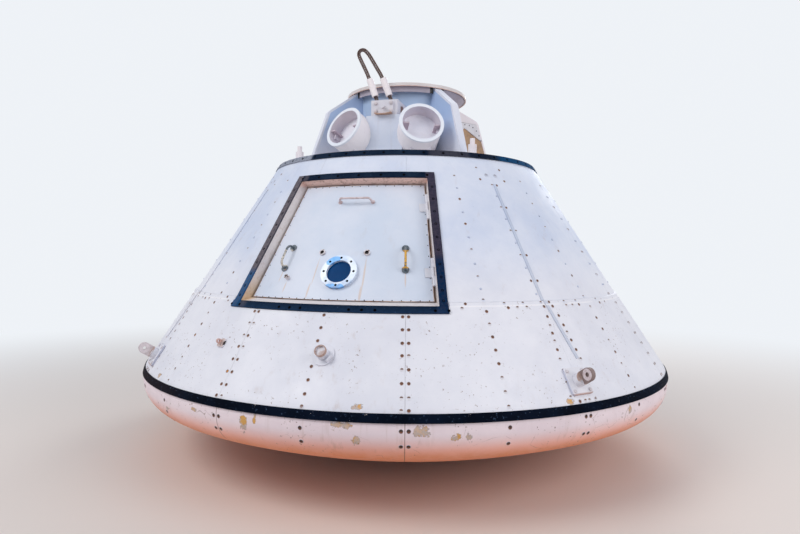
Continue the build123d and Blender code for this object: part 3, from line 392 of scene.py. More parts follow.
floor_mesh = bpy.data.meshes.new("studio_floor")
floor_corners = [(x * FLOOR_HALF, y * FLOOR_HALF, 0) for x, y in ((-1, -1), (1, -1), (1, 1), (-1, 1))]
floor_mesh.from_pydata(floor_corners, [], [(0, 1, 2, 3)])
floor = bpy.data.objects.new("studio_floor", floor_mesh)
stage_scene.collection.objects.link(floor)
place = new_finish("studio_floor")
tree = place.tree
floor_mesh.materials.append(feed(place, FLOOR_PAINT, 0.9))
haze = tree.nodes.new("ShaderNodeEmission")
wire(haze.inputs["Color"], BACKDROP)
far_off = rise(length(place), FADE_FROM, FADE_TO) * ray_kinds(tree, "Camera")
fade = new_node("MixShader", far_off, Value(tree.nodes["Principled BSDF"].outputs[0]), Value(haze.outputs[0]))
wire(tree.nodes["Material Output"].inputs["Surface"], Value(fade.outputs[0]))

stage_scene.view_settings.view_transform = "Standard"
for name, spot, power, colour in LAMPS:
    light = bpy.data.lights.new(name, "AREA")
    light.shape, light.size, light.energy, light.color = "DISK", LAMP_SIZE, power, colour
    lamp = bpy.data.objects.new(name, light)
    stage_scene.collection.objects.link(lamp)
    aim = (LAMP_AIM - Vector(spot)).to_track_quat("-Z", "Y")
    lamp.matrix_world = Matrix.Translation(spot) @ aim.to_matrix().to_4x4()
print("lamps:", len(LAMPS))

# %% [markdown]
# ## Shared paint effects
# Old outdoor paint looks the way it does for a few reasons that all parts share: it chalks in broad
# patches, rain draws faint streaks down it, grit chips it, and red dust splashes up from the ground.
# Each of these is one node group with named sockets, built once and used in each finish with its own
# values. The groups put out only colours, masks and heights; the shader stays in the material.


# %% Group helpers
def new_group(name, outputs, **inputs):
    """An empty node group. A colour makes a colour input, a number a plain one, None a place; _ stands for a
    space. It gives the group, its inputs as Values, and its output sockets."""
    group = bpy.data.node_groups.new(name, "ShaderNodeTree")
    for label, start in inputs.items():
        kind = "Vector" if start is None else "Color" if isinstance(start, tuple) else "Float"
        socket = group.interface.new_socket(label.replace("_", " "), in_out="INPUT", socket_type=f"NodeSocket{kind}")
        if start is not None:
            socket.default_value = (*start, 1) if kind == "Color" else start
    for label in outputs:
        kind = "Color" if label == "Colour" else "Float"
        group.interface.new_socket(label, in_out="OUTPUT", socket_type=f"NodeSocket{kind}")
    entry = group.nodes.new("NodeGroupInput").outputs
    return group, [Value(entry[label.replace("_", " ")]) for label in inputs], group.nodes.new("NodeGroupOutput").inputs


def put_out(leave, *values):
    """Wire a group's results to its output sockets in order."""
    for socket, value in zip(leave, values):
        wire(socket, value)


def use_group(group, **values):
    """A group's results by their names in small letters, with values for its named inputs."""
    tree = values["Place"].tree
    node = tree.nodes.new("ShaderNodeGroup")
    node.node_tree = group
    for label, value in values.items():
        wire(node.inputs[label.replace("_", " ")], value)
    return SimpleNamespace(**{socket.name.lower(): Value(socket) for socket in node.outputs})


# %% Where on the capsule: azimuth, height, how far off the cone, and the distance to the lines of bolts
DEGREE = float(np.degrees(1.0))
SLOPE_ANGLE = float(np.radians(32.65))
SLOPE_SIN, SLOPE_COS = float(np.sin(SLOPE_ANGLE)), float(np.cos(SLOPE_ANGLE))
TANGENT_R, TANGENT_Z = 1.92489, 0.65979
ROW_AZIMUTHS = (0.0, 15.5, 31.1, 45.0)

where, (place,), leave = new_group(
    "where_on_capsule", ("Azimuth", "Radius", "Height", "Off", "Row", "Seam"), Place=None)
x, y, z = split(place)
azimuth = maths("ARCTAN2", x, y * -1.0) * DEGREE
radius = maths("SQRT", x * x + y * y)
quarter = maths("PINGPONG", azimuth, 45.0)
metres = radius / DEGREE
rows = [abs(quarter - row) for row in ROW_AZIMUTHS]
nearest = rows[0]
for row in rows[1:]:
    nearest = maths("MINIMUM", nearest, row)
off = (radius - TANGENT_R) * SLOPE_COS + (z - TANGENT_Z) * SLOPE_SIN
put_out(leave, azimuth, radius, z, off, nearest * metres, rows[1] * metres)
print("bolt rows in each quarter at", ROW_AZIMUTHS)


def on_capsule(place):
    """Where on the capsule a place is."""
    return use_group(where, Place=place)


# %% [markdown]
# A mark is an ellipse anywhere on the skin, with an edge that noise makes ragged. One group makes both a
# peeled flake, when it is about as wide as tall, and a run of rust, when it is narrow and long.

# %% Mark group
mark, (place, azimuth, height, wide, tall, ragged, soft), leave = new_group(
    "mark_on_skin", ("Mask", "Rim"),
    Place=None, Azimuth=0.0, Height=1.0, Wide=0.05, Tall=0.05, Ragged=0.6, Fade=0.25)
spot = on_capsule(place)
across = (spot.azimuth - azimuth) * (spot.radius / DEGREE) / wide
upward = (spot.height - height) / tall
reach = maths("POWER", across, 2.0) + maths("POWER", upward, 2.0)
reach = reach + (grain(place, 34.0, 5.0, 0.62) - 0.5) * (ragged * 5.0)
outside = rise(reach, 1.0 - soft, 1.0)
put_out(leave, 1.0 - outside, outside * rise(reach, 1.45, 1.15))

# %% [markdown]
# The paint group mixes the broad patches, the streaks, the chips down to old primer and the ground dust.
# Its height output is low where a chip is and ripples where thin plate is pulled in by its bolts.

# %% Chalky paint group
FRECKLE, PRIMER_OCHRE, PRIMER_GREY = (0.16, 0.09, 0.06), (0.45, 0.22, 0.075), (0.30, 0.24, 0.2)
CHIP_RIM, RED_DUST = (0.36, 0.27, 0.22), (0.78, 0.29, 0.14)

chalky, (place, paint, shade, stain, streaks, chips, dust, dust_top, dust_foot), leave = new_group(
    "chalky_paint", ("Colour", "Roughness", "Height"),
    Place=None, Paint=(0.7, 0.72, 0.76), Shade=(0.55, 0.6, 0.7), Stain=(0.42, 0.26, 0.17),
    Streaks=0.3, Chips=0.3, Dust=0.3, Dust_Top=0.72, Dust_Foot=0.06)
patches = patchy(place, 1.9, 0.35, 0.68, 5.0, 0.6)
clouds = patchy(place, 11.0, 0.38, 0.66, 6.0, 0.65)
colour = mix(patches * 0.75, paint, shade)
colour = mix(clouds * 0.22, colour, shade)
runs = patchy(place, 22.0, 0.55, 0.78, 5.0, 0.6, (1.0, 1.0, 0.045))
colour = mix(runs * patches * streaks, colour, stain)
colour = mix(patchy(place, 95.0, 0.69, 0.75, 3.0, 0.5) * (clouds * streaks), colour, FRECKLE)
edge = chips * -0.17 + 0.80
flakes = grain(place, 8.5, 9.0, 0.68)
chip = rise(flakes, edge, edge + 0.012)
colour = mix(rise(flakes, edge - 0.018, edge) * 0.45, colour, CHIP_RIM)
colour = mix(chip, colour, mix(patchy(place, 40.0, 0.4, 0.6), PRIMER_OCHRE, PRIMER_GREY))
splash = rise(split(place)[2], dust_top, dust_foot) * (clouds * 0.25 + 0.8) * dust
ripple, peel = grain(place, 4.5, 2.0, 0.5), grain(place, 160.0, 2.0, 0.5) * 0.05
put_out(leave, mix(splash, colour, RED_DUST), patches * 0.18 + 0.44 + (chip + splash) * 0.3,
        ripple + peel - chip * 0.12)

# %% [markdown]
# Rust is never one brown. It runs from near black in the pits to orange where it is fresh. The same group
# serves bolt holes, ropes, fittings and the stained edges of the hatchway.

# %% Rust group
PIT_BLACK, OLD_RUST, FRESH_RUST = (0.045, 0.02, 0.013), (0.21, 0.082, 0.036), (0.56, 0.24, 0.06)

rust, (place, scale, fresh), leave = new_group(
    "rust_colours", ("Colour", "Height"), Place=None, Scale=60.0, Fresh=0.3)
pits = grain(place, scale, 6.0, 0.65)
put_out(leave, mix(rise(pits, 0.5, 0.72) * fresh, mix(rise(pits, 0.36, 0.64), PIT_BLACK, OLD_RUST), FRESH_RUST), pits)
print("groups:", [group.name for group in bpy.data.node_groups])

# %% [markdown]
# ## Finishes
# A finish is one Principled shader fed by the groups. Nearly all of them start from chalky paint with the same
# brown stain, so that call has a short form. A finish goes on all the parts that share it. The last two
# numbers of a rise, and those after a patchy noise's scale, are where a soft step begins and ends: degrees
# for azimuth, metres for height, depth and distance, and a share for noise. A colour's own constants stand
# above the finish that uses them.


# %% Finish helpers
RUN_BROWN = (0.40, 0.25, 0.17)
HOLE_SHADOW_BLACK = (0.015, 0.010, 0.012)


def chalk(place, paint, shade, chips, streaks=0.3, dust=0.0, **more):
    """Chalky paint with brown stains."""
    return use_group(chalky, Place=place, Paint=paint, Shade=shade, Stain=RUN_BROWN, Streaks=streaks,
                     Chips=chips, Dust=dust, **more)


def rusty(place, scale, fresh):
    """Rust of so many pits to the metre, with a share of fresh orange."""
    return use_group(rust, Place=place, Scale=scale, Fresh=fresh)


def coat(material, *names):
    """Give the finish to CAD nodes: only their material slots change."""
    for name in names:
        for slot in nodes[name].material_slots:
            slot.material = material
    print(f"{material.name}: {', '.join(names)}")


def add_marks(place, colour, table, paint, ragged, fade, strength=1.0, rim=0.0):
    """Lay a row of marks over a colour; the table's columns are azimuth, height, half width, half height.
    Rim is how dark the broken edge round each mark is."""
    for azimuth, height, wide, tall in table:
        patch = use_group(mark, Place=place, Azimuth=azimuth, Height=height, Wide=wide, Tall=tall,
                          Ragged=ragged, Fade=fade)
        colour = mix(patch.mask * strength, colour, paint)
        if rim:
            colour = mix(patch.rim * rim, colour, (0.13, 0.08, 0.065))
    return colour


# %% [markdown]
# ### White skin
# The cone's panels are white gloss paint gone chalky. The blue of the open sky on the upper panels and the warm
# light from the ground on the lower ones are painted into the white. Faint rust runs follow the rows of bolts.
# The plates butt at two more seams in each quarter, too thin to need geometry: the distance to the seam line
# darkens the paint there and cuts a groove in the bump. A painted highlight runs along the lap, and the
# battens of the right half carry a painted blue-grey shadow line.

# %% White skin
WHITE, COOL_WHITE = (0.70, 0.73, 0.83), (0.55, 0.61, 0.76)
SKIRT_WHITE, SKIRT_SHADE = (0.80, 0.79, 0.84), (0.68, 0.68, 0.75)
WARM_WHITE, LAP_HIGHLIGHT_WHITE = (0.84, 0.73, 0.76), (0.95, 0.92, 0.93)
BATTEN_SHADOW_GREY, BATTEN_SHADE = (0.36, 0.42, 0.56), (0.32, 0.38, 0.53)
TAN_PRIMER, PINK_PRIMER, OCHRE, SPECK = (0.60, 0.42, 0.31), (0.50, 0.41, 0.37), (0.64, 0.34, 0.085), (0.14, 0.09, 0.07)
GRIT_BROWN, SEAM_BROWN = (0.22, 0.12, 0.085), (0.26, 0.22, 0.22)
LAP_HIGHLIGHT_Z = 1.1335
FLAKES_ABOVE_BAND = ((8.5, 0.66, 0.024, 0.012), (42.0, 0.648, 0.020, 0.015), (-36.0, 0.66, 0.02, 0.01),
                     (104.0, 0.67, 0.03, 0.012), (-118.0, 0.66, 0.025, 0.014), (168.0, 0.66, 0.03, 0.01))


def undercoat(place):
    """The colour under a flake: tan and pinkish primer in patches, ochre here and there, a few dark specks."""
    base = mix(patchy(place, 38.0, 0.40, 0.58, 6.0, 0.7), TAN_PRIMER, PINK_PRIMER)
    base = mix(patchy(place, 21.0, 0.47, 0.56, 5.0, 0.6), base, OCHRE)
    return mix(patchy(place, 110.0, 0.60, 0.68, 4.0, 0.6) * 0.7, base, SPECK)


def grit_marks(place, colour, strength):
    """Small brown specks where gravel has hit the paint: fine noise, kept only in loose clusters."""
    fine, clusters = patchy(place, 62.0, 0.645, 0.675, 4.0, 0.6), patchy(place, 3.4, 0.44, 0.58, 3.0, 0.6)
    return mix(fine * clusters * strength, colour, GRIT_BROWN)


def skin_finish(name, chips, dust, seam_share, flakes, grey=0.0):
    """White with the sky's blue painted in at the top, turning to the ground's painted warmth on its way down to the
    lap.
    """
    place = new_finish(name)
    spot = on_capsule(place)
    # The sky's blue painted in at the top turns to painted warmth from the ground lower down.
    low_down = rise(spot.height, 1.56, 1.12)
    white, shade = mix(low_down, WHITE, SKIRT_WHITE), mix(low_down, COOL_WHITE, SKIRT_SHADE)
    # grey is the share of a painted blue-grey shadow line on the battens, kept to the right half.
    if grey:
        share = rise(spot.azimuth, -20.0, 20.0) * grey
        white, shade = mix(share, white, BATTEN_SHADOW_GREY), mix(share, shade, BATTEN_SHADE)
    paint = chalk(place, white, shade, chips, dust=dust)
    runs = patchy(place, 30.0, 0.54, 0.72, 4.0, 0.6, (1.0, 1.0, 0.06))
    colour = mix(rise(spot.row, 0.028, 0.004) * runs * 0.08, paint.colour, RUN_BROWN)
    # A painted highlight along the lap line, a little below the lap's ledge.
    lap_highlight = rise(abs(spot.height - LAP_HIGHLIGHT_Z), 0.006, 0.002) * patchy(place, 7.0, 0.30, 0.55, 3.0)
    colour = mix(lap_highlight * 0.55, colour, LAP_HIGHLIGHT_WHITE)
    seam = rise(spot.seam, 0.0022, 0.0006)
    colour = mix(seam * patchy(place, 9.0, 0.36, 0.55) * seam_share, colour, SEAM_BROWN)
    if flakes:
        colour = grit_marks(place, colour, 0.8)
    colour = add_marks(place, colour, flakes, undercoat(place) if flakes else None, 1.9, 0.1, 1.0, 0.55)
    return feed(place, colour, paint, paint.height - seam * 0.5, 0.003)


UPPER_PANELS = ("over_hatch", "front_right", "right", "rear", "left", "front_left")
LOWER_PANELS = ("front", "right", "rear", "left")
coat(skin_finish("white_upper_skin", 0.1, 0.0, 0.2, ()), *[f"upper_panel_{side}" for side in UPPER_PANELS])
coat(skin_finish("white_battens", 0.1, 0.0, 0.0, (), 0.5), "seam_battens")
lower_skin = skin_finish("white_lower_skin", 0.40, 0.12, 0.4, FLAKES_ABOVE_BAND)
coat(lower_skin, *[f"lower_panel_{side}" for side in LOWER_PANELS])

# %% [markdown]
# ### Dished base
# The base takes the worst of it: gravel thrown up against it, damp from below, and red dust. The paint is
# cracked and flaked to an ochre undercoat in patches just under the dark band. Low down it is painted
# orange-pink, partly red dust and partly painted warm light thrown up from the ground.

# %% Dished base
BASE_WHITE, BASE_SHADE = (0.86, 0.735, 0.77), (0.76, 0.64, 0.68)
DUST_AND_BOUNCE_WHITE, DUST_AND_BOUNCE_SHADE = (0.94, 0.49, 0.40), (0.84, 0.43, 0.35)
CRACK_BROWN, BASE_SEAM = (0.20, 0.12, 0.09), (0.17, 0.09, 0.06)
BASE_FLAKES = (
    (-9.9, 0.535, 0.020, 0.040), (-7.8, 0.572, 0.008, 0.026), (-1.6, 0.572, 0.014, 0.008), (-21.0, 0.55, 0.022, 0.009),
    (5.6, 0.577, 0.024, 0.014), (7.1, 0.572, 0.020, 0.018), (8.4, 0.50, 0.016, 0.020), (17.9, 0.555, 0.036, 0.024),
    (22.8, 0.525, 0.020, 0.016), (24.8, 0.527, 0.014, 0.018), (-30.0, 0.50, 0.022, 0.010), (56.0, 0.55, 0.016, 0.022),
    (77.0, 0.56, 0.030, 0.016), (112.0, 0.54, 0.034, 0.020), (150.0, 0.55, 0.026, 0.028), (-75.0, 0.56, 0.030, 0.018),
    (-128.0, 0.54, 0.034, 0.016), (-160.0, 0.55, 0.022, 0.024),
)
place = new_finish("base_paint")
spot = on_capsule(place)
# Lower down the paint turns orange-pink: red dust and painted warm light from the ground.
dust_and_bounce = rise(spot.height, 0.540, 0.430)
paint = chalk(place, mix(dust_and_bounce, BASE_WHITE, DUST_AND_BOUNCE_WHITE), mix(dust_and_bounce, BASE_SHADE, DUST_AND_BOUNCE_SHADE),
              0.60, 0.45, 0.95, Dust_Top=0.475, Dust_Foot=0.385)
warp = Value(new_node("TexNoise", place, None, 5.0).outputs["Color"])
cells = new_node("TexVoronoi", mix(0.06, place, warp), None, 6.5, feature="DISTANCE_TO_EDGE")
crack = rise(Value(cells.outputs["Distance"]), 0.007, 0.002) * patchy(place, 6.5, 0.50, 0.62, 5.0, 0.6)
colour = mix(crack * 0.55, paint.colour, CRACK_BROWN)
colour = mix(rise(spot.seam, 0.003, 0.001) * 0.75, colour, BASE_SEAM)
colour = grit_marks(place, colour, 1.0)
colour = add_marks(place, colour, BASE_FLAKES, undercoat(place), 1.9, 0.08, 1.0, 0.6)
coat(feed(place, colour, paint, paint.height - crack * 0.15, 0.003), "heat_shield")

# %% [markdown]
# ### Dark bands
# The rim, the base band and the hatch trim are painted blue black. The trim's left side is weathered down to a
# grey brown, and the rim band flakes at both ends of the front. Each stretch of a table turns the band to
# another colour; its columns are the azimuth where it begins and ends, how soft its ends are, the height
# below which it holds, the colour, and its share.

# %% Dark bands
NAVY, FADED_NAVY = (0.003, 0.010, 0.027), (0.012, 0.024, 0.048)
BASE_NAVY, FADED_BASE = (0.0015, 0.003, 0.008), (0.003, 0.007, 0.018)
SPECKLED, WORN_BROWN, BASE_BROWN = (0.052, 0.050, 0.068), (0.165, 0.140, 0.155), (0.020, 0.014, 0.016)
SCUFF_BLUE, FLAKE_PALE = (0.12, 0.19, 0.32), (0.62, 0.56, 0.55)
ANY = 9.0
RIM_STRETCHES = (
    (-62.0, -22.5, 1.5, ANY, (0.36, 0.38, 0.45), 0.92),
    (22.5, 40.0, 2.0, ANY, SPECKLED, 0.95),
    (38.8, 50.0, 2.0, ANY, (0.010, 0.014, 0.028), 0.9),
    (51.0, 128.0, 4.0, ANY, (0.006, 0.070, 0.180), 0.85),
    (-140.0, -100.0, 8.0, ANY, SPECKLED, 0.7),
)
TRIM_STRETCHES = (
    (-30.0, -21.6, 0.8, ANY, WORN_BROWN, 0.95),
    (-22.0, -18.6, 1.6, ANY, WORN_BROWN, 0.5),
    (-30.0, -20.8, 1.0, 1.31, (0.004, 0.090, 0.240), 0.8),
    (21.2, 30.0, 0.6, ANY, (0.070, 0.055, 0.082), 0.75),
    (21.2, 30.0, 0.6, 1.40, (0.001, 0.020, 0.062), 0.95),
    (-24.0, 24.0, 2.0, 1.12, (0.016, 0.045, 0.105), 0.6),
)
BASE_STRETCHES = ((-90.0, -20.0, 14.0, ANY, BASE_BROWN, 0.7), (100.0, 150.0, 14.0, ANY, BASE_BROWN, 0.7))


def band_finish(name, plain, faded, stretches, flaking, specks):
    """Blue-black paint in two tones, with its stretches of other colours, blue scuffs and pale flakes."""
    place = new_finish(name)
    spot = on_capsule(place)
    tone = patchy(place, 6.0, 0.35, 0.7, 5.0, 0.6)
    colour = mix(tone, plain, faded)
    fine = patchy(place, 75.0, 0.40, 0.60, 5.0, 0.7)
    worn = tone * 0.0
    for begin, end, soft, below, paint, share in stretches:
        inside = rise(spot.azimuth, begin, begin + soft) * rise(spot.azimuth, end, end - soft)
        inside = inside * rise(spot.height, below + 0.03, below - 0.03) * (fine * (0.45 * share) + 0.6 * share)
        colour = mix(inside, colour, paint)
        worn = maths("MAXIMUM", worn, inside)
    colour = mix(patchy(place, 60.0, 0.60, 0.68, 6.0, 0.7) * specks, colour, SCUFF_BLUE)
    flake = patchy(place, 26.0, 0.74 - 0.1 * flaking, 0.755 - 0.1 * flaking, 8.0, 0.7)
    rough = worn * 0.2 + (tone * 0.12 + 0.55)
    return feed(place, mix(flake, colour, FLAKE_PALE), rough, grain(place, 60.0, 5.0, 0.6) - flake, 0.0012,
                Specular_IOR_Level=0.02)


coat(band_finish("dark_base_band", BASE_NAVY, FADED_BASE, BASE_STRETCHES, 0.80, 0.5), "base_band")
coat(band_finish("dark_rim_band", NAVY, FADED_NAVY, RIM_STRETCHES, 0.3, 0.12), "rim_band")
coat(band_finish("dark_hatch_trim", NAVY, FADED_NAVY, TRIM_STRETCHES, 0.3, 0.2), "hatch_trim")

# %% [markdown]
# ### Upper bay
# The recovery compartment is the same white paint. The tunnel under the cover is painted bluer and darker,
# as painted shade, fading to white round the back. The sleeves, the tubes and the top of the cover lean to pink
# and tan, where dust has settled and rust shows through their edges; the cover's tan underside is painted warm
# shade. The plain finishes are one table: name, paint, shade, chips, streaks, and the CAD nodes that wear each.

# %% Plain finishes
TUNNEL_BEHIND = (0.72, 0.74, 0.80)
BAY_FINISHES = (
    ("bay_white", (0.70, 0.73, 0.82), (0.54, 0.61, 0.76), 0.15, 0.25, ("harness_pedestal",)),
    ("tunnel_shaded_white", (0.53, 0.63, 0.77), (0.38, 0.50, 0.70), 0.2, 0.3, ("tunnel",)),
    ("bay_warm_white", (0.70, 0.68, 0.72), (0.60, 0.58, 0.66), 0.35, 0.5,
     ("mortar_cradles", "harness_box", "clamp_plate")),
    ("tube_white", (0.88, 0.81, 0.82), (0.76, 0.70, 0.73), 0.3, 0.5, ("rope_sleeves", "leg_posts")),
    ("deck_white", (0.70, 0.70, 0.73), (0.56, 0.54, 0.56), 0.4, 0.6, ("deck", "cabin_floor")),
    ("hinge_white", (0.74, 0.73, 0.78), (0.62, 0.63, 0.70), 0.4, 0.6, ("hinge_leaves", "hinge_brackets")),
    ("stop_paint", (0.60, 0.50, 0.56), (0.46, 0.38, 0.44), 0.4, 0.7, ()),
    ("painted_bolt_blue", (0.52, 0.56, 0.68), (0.40, 0.45, 0.60), 0.4, 0.4, ()),
    ("painted_bolt_white", (0.66, 0.60, 0.62), (0.54, 0.50, 0.55), 0.5, 0.6, ()),
    ("lip_rust", (0.52, 0.32, 0.22), (0.36, 0.20, 0.14), 0.9, 0.9, ()),
    ("box_lug_paint", (0.30, 0.20, 0.18), (0.14, 0.09, 0.09), 0.9, 0.9, ()),
)
plain_finishes = {}
for name, colour, shade, chips, streaks, wearers in BAY_FINISHES:
    place = new_finish(name)
    # The tunnel's blue is painted shade from the cover; round the back it turns to plain white.
    if name == "tunnel_shaded_white":
        turned = rise(abs(on_capsule(place).azimuth), 60.0, 110.0)
        colour, shade = mix(turned, colour, TUNNEL_BEHIND), mix(turned, shade, COOL_WHITE)
    paint = chalk(place, colour, shade, chips, streaks)
    plain_finishes[name] = feed(place, paint.colour, paint)
    coat(plain_finishes[name], *wearers)

# %% Tunnel channel, top cover and doublers
CHANNEL_END_SHADOW, DOUBLER_DARK = (0.010, 0.008, 0.010), (0.12, 0.11, 0.12)
COVER_EDGE_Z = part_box("top_cover")[0].z + 0.004
DOUBLER_TOP_Z = 2.548

place = new_finish("channel_paint")
paint = chalk(place, (0.50, 0.44, 0.50), (0.36, 0.33, 0.40), 0.5, 0.7)
off_centre = 45.0 - maths("PINGPONG", on_capsule(place).azimuth + 45.0, 45.0)
# The channel's open ends are painted black as the shade inside them.
colour = mix(rise(off_centre, 37.2, 38.0), paint.colour, CHANNEL_END_SHADOW)
coat(feed(place, colour, paint), "tunnel_channel")

place = new_finish("cover_paint")
above = chalk(place, (0.76, 0.71, 0.70), (0.64, 0.58, 0.57), 0.7)
# The underside is painted tan as the warm shade under the cover; the top and its edge stay pale.
below = chalk(place, (0.76, 0.50, 0.41), (0.56, 0.38, 0.34), 0.5, 0.9)
edge_wander = grain(place, 30.0, 6.0, 0.7) * 0.016 - 0.008
topside = rise(split(place)[2] + edge_wander, COVER_EDGE_Z - 0.002, COVER_EDGE_Z + 0.002)
coat(feed(place, mix(topside, below.colour, above.colour), above), "top_cover")

place = new_finish("doubler_paint")
paint = chalk(place, (0.80, 0.77, 0.78), (0.70, 0.68, 0.72), 0.3, 0.4)
top_line = rise(on_capsule(place).height, DOUBLER_TOP_Z - 0.009, DOUBLER_TOP_Z - 0.003)
colour = mix(top_line * 0.8, paint.colour, DOUBLER_DARK)
coat(feed(place, colour, paint), "gusset_doublers")

# %% [markdown]
# The tubes are warm white outside and at the lip, but their bores and cup floors are painted bluer, as the shade
# inside them. The distance to the tube's own axis tells bore from skin: take the place from the mouth's middle,
# drop its part along the axis, and measure what is left. The sideways coordinate is made positive, so one
# material serves both tubes.

# %% Mortar tubes
TUBE_TURN, TUBE_RISE = np.radians((25.0, 23.0))
MOUTH = np.array([0.290, -0.660, 2.330])
TUBE_AXIS = np.array(
    [np.cos(TUBE_RISE) * np.sin(TUBE_TURN), -np.cos(TUBE_RISE) * np.cos(TUBE_TURN), np.sin(TUBE_RISE)])
BORE_R = 0.134
LIP_COLOUR = (0.80, 0.82, 0.88)

axis = tuple(TUBE_AXIS)
place = new_finish("mortar_tube_paint")
x, y, z = split(place)
apart = vector_maths("SUBTRACT", join(abs(x), y, z), tuple(MOUTH))
depth = vector_maths("DOT_PRODUCT", apart, axis, output=1)
out = length(vector_maths("SUBTRACT", apart, vector_maths("SCALE", axis, None, None, depth)))
skin = chalk(place, (0.93, 0.88, 0.89), (0.84, 0.80, 0.84), 0.3)
# The bore and the cup floor are painted bluer and darker than the outside, as the shade inside the tube.
bore = chalk(place, (0.74, 0.67, 0.71), (0.55, 0.54, 0.66), 0.4, 0.6)
cup = chalk(place, (0.88, 0.85, 0.90), (0.74, 0.76, 0.86), 0.4, 0.5)
outside = mix(rise(depth, -0.0155, -0.0135), skin.colour, LIP_COLOUR)
floor_part = rise(depth, -0.0975, -0.0995) * rise(out, BORE_R + 0.001, BORE_R - 0.001)
in_bore = rise(out, BORE_R + 0.003, BORE_R + 0.0015) * rise(depth, -0.0005, -0.0025)
colour = mix(in_bore, outside, mix(floor_part, bore.colour, cup.colour))
coat(feed(place, colour, skin), "mortar_tube_right", "mortar_tube_left")

# %% [markdown]
# Two thin fins stand in each tube as stops for what once was packed in it. A fin is a flat plate that runs
# along the tube from near the mouth to the cup floor, and from the bore wall some way in. Its eight corners
# follow from three numbers in the tube's own axes: its two edges and its level.

# %% Mortar stops
STOP_TOP, STOP_FOOT, STOP_HALF = 0.012, 0.0995, 0.005
STOPS = ((-0.1315, -0.084, 0.004), (0.093, 0.1312, -0.009))


def fin(low, high, level, side):
    """Eight corners of one fin: across the tube, up from its axis and along it, mirrored for the left tube."""
    across = np.array([np.cos(TUBE_TURN), side * np.sin(TUBE_TURN), 0.0])
    axis = TUBE_AXIS * (side, 1.0, 1.0)
    left, right = sorted((low * side, high * side))
    flat = [(left, -STOP_HALF), (right, -STOP_HALF), (right, STOP_HALF), (left, STOP_HALF)]
    flat = np.array(flat) + (0.0, level)
    face = MOUTH * (side, 1.0, 1.0) + flat[:, :1] * across + flat[:, 1:] * np.cross(axis, across)
    return np.concatenate([face - STOP_FOOT * axis, face - STOP_TOP * axis])


fins = [fin(*row, side) for side in (1.0, -1.0) for row in STOPS]
fin_faces = [bar_faces(2) + 8 * index for index in range(len(fins))]
make_piece("mortar_stops", np.concatenate(fins), fin_faces, paint=plain_finishes["stop_paint"], flat=True)

# %% [markdown]
# ### Gussets
# Four gussets brace the tunnel. The flanges are white; the front webs are painted blue as painted shade, more
# so the higher they are, and the rear webs show bare primer where the doubler plate leaves them open. Radius
# and height tell flange, web and opening apart: an outline is three points in radius and height, from the foot up.

# %% Gussets
FRONT_OUTLINE = ((0.8296, 2.080), (0.687, 2.488), (0.452, 2.658))
REAR_OUTLINE = ((0.8616, 2.080), (0.690, 2.566), (0.434, 2.658))
OPENING = ((0.800, 2.280), (0.740, 2.395), (0.540, 2.505))
FLANGE_THICK = 0.016
WEB_SHADE_BLUE, BARE_LIGHT, BARE_DARK = (0.40, 0.52, 0.75), (0.50, 0.30, 0.16), (0.34, 0.21, 0.13)


def inside_outline(spot, outline, inset):
    """1 on the inner side of both lines of an outline, moved in by inset. How far a point is past a line is
    its offset from the line's foot, times the line's outward unit normal."""
    inner = []
    for (r_low, z_low), (r_high, z_high) in (outline[:2], outline[1:]):
        run = float(np.hypot(r_low - r_high, z_high - z_low))
        past = (spot.height - z_low) * ((r_low - r_high) / run) + (spot.radius - r_low) * ((z_high - z_low) / run)
        inner.append(rise(past, -inset + 0.001, -inset - 0.001))
    return inner[0] * inner[1]


def gusset_finish(name, outline, white, shade, bare_opening):
    """White flanges; on the front ones the web gets painted blue shade, the more the higher it is, and on the rear ones
    bare primer in the opening.
    """
    place = new_finish(name)
    paint = chalk(place, white, shade, 0.15, 0.25)
    spot = on_capsule(place)
    web = inside_outline(spot, outline, FLANGE_THICK)
    if bare_opening:
        share = web * inside_outline(spot, OPENING, 0.0)
        web_colour = mix(patchy(place, 14.0, 0.35, 0.65, 5.0, 0.6), BARE_LIGHT, BARE_DARK)
    else:
        share, web_colour = web * rise(spot.height, 2.12, 2.46), WEB_SHADE_BLUE
    return feed(place, mix(share, paint.colour, web_colour), paint)


GUSSETS = (("front", FRONT_OUTLINE, (0.78, 0.78, 0.85), (0.64, 0.67, 0.78), False),
           ("rear", REAR_OUTLINE, (0.90, 0.82, 0.82), (0.80, 0.74, 0.78), True))
for end, *looks in GUSSETS:
    coat(gusset_finish(f"{end}_gusset_paint", *looks), f"gusset_{end}_right", f"gusset_{end}_left")

# %% [markdown]
# ### Fittings on the skirt
# Lugs, the tie eye and the stub are white like the skin, but their edges and eye rings have gone to rust, and
# the holes of the lift lugs and the tie eye are painted dark as their shade. The lift lugs' plates carry a painted
# blue shadow along one edge. The table gives each finish its CAD nodes, the distance off the cone where its tip
# begins, the two heights between which its foot edge ends, the tip's colour, and the painted shade of its holes.

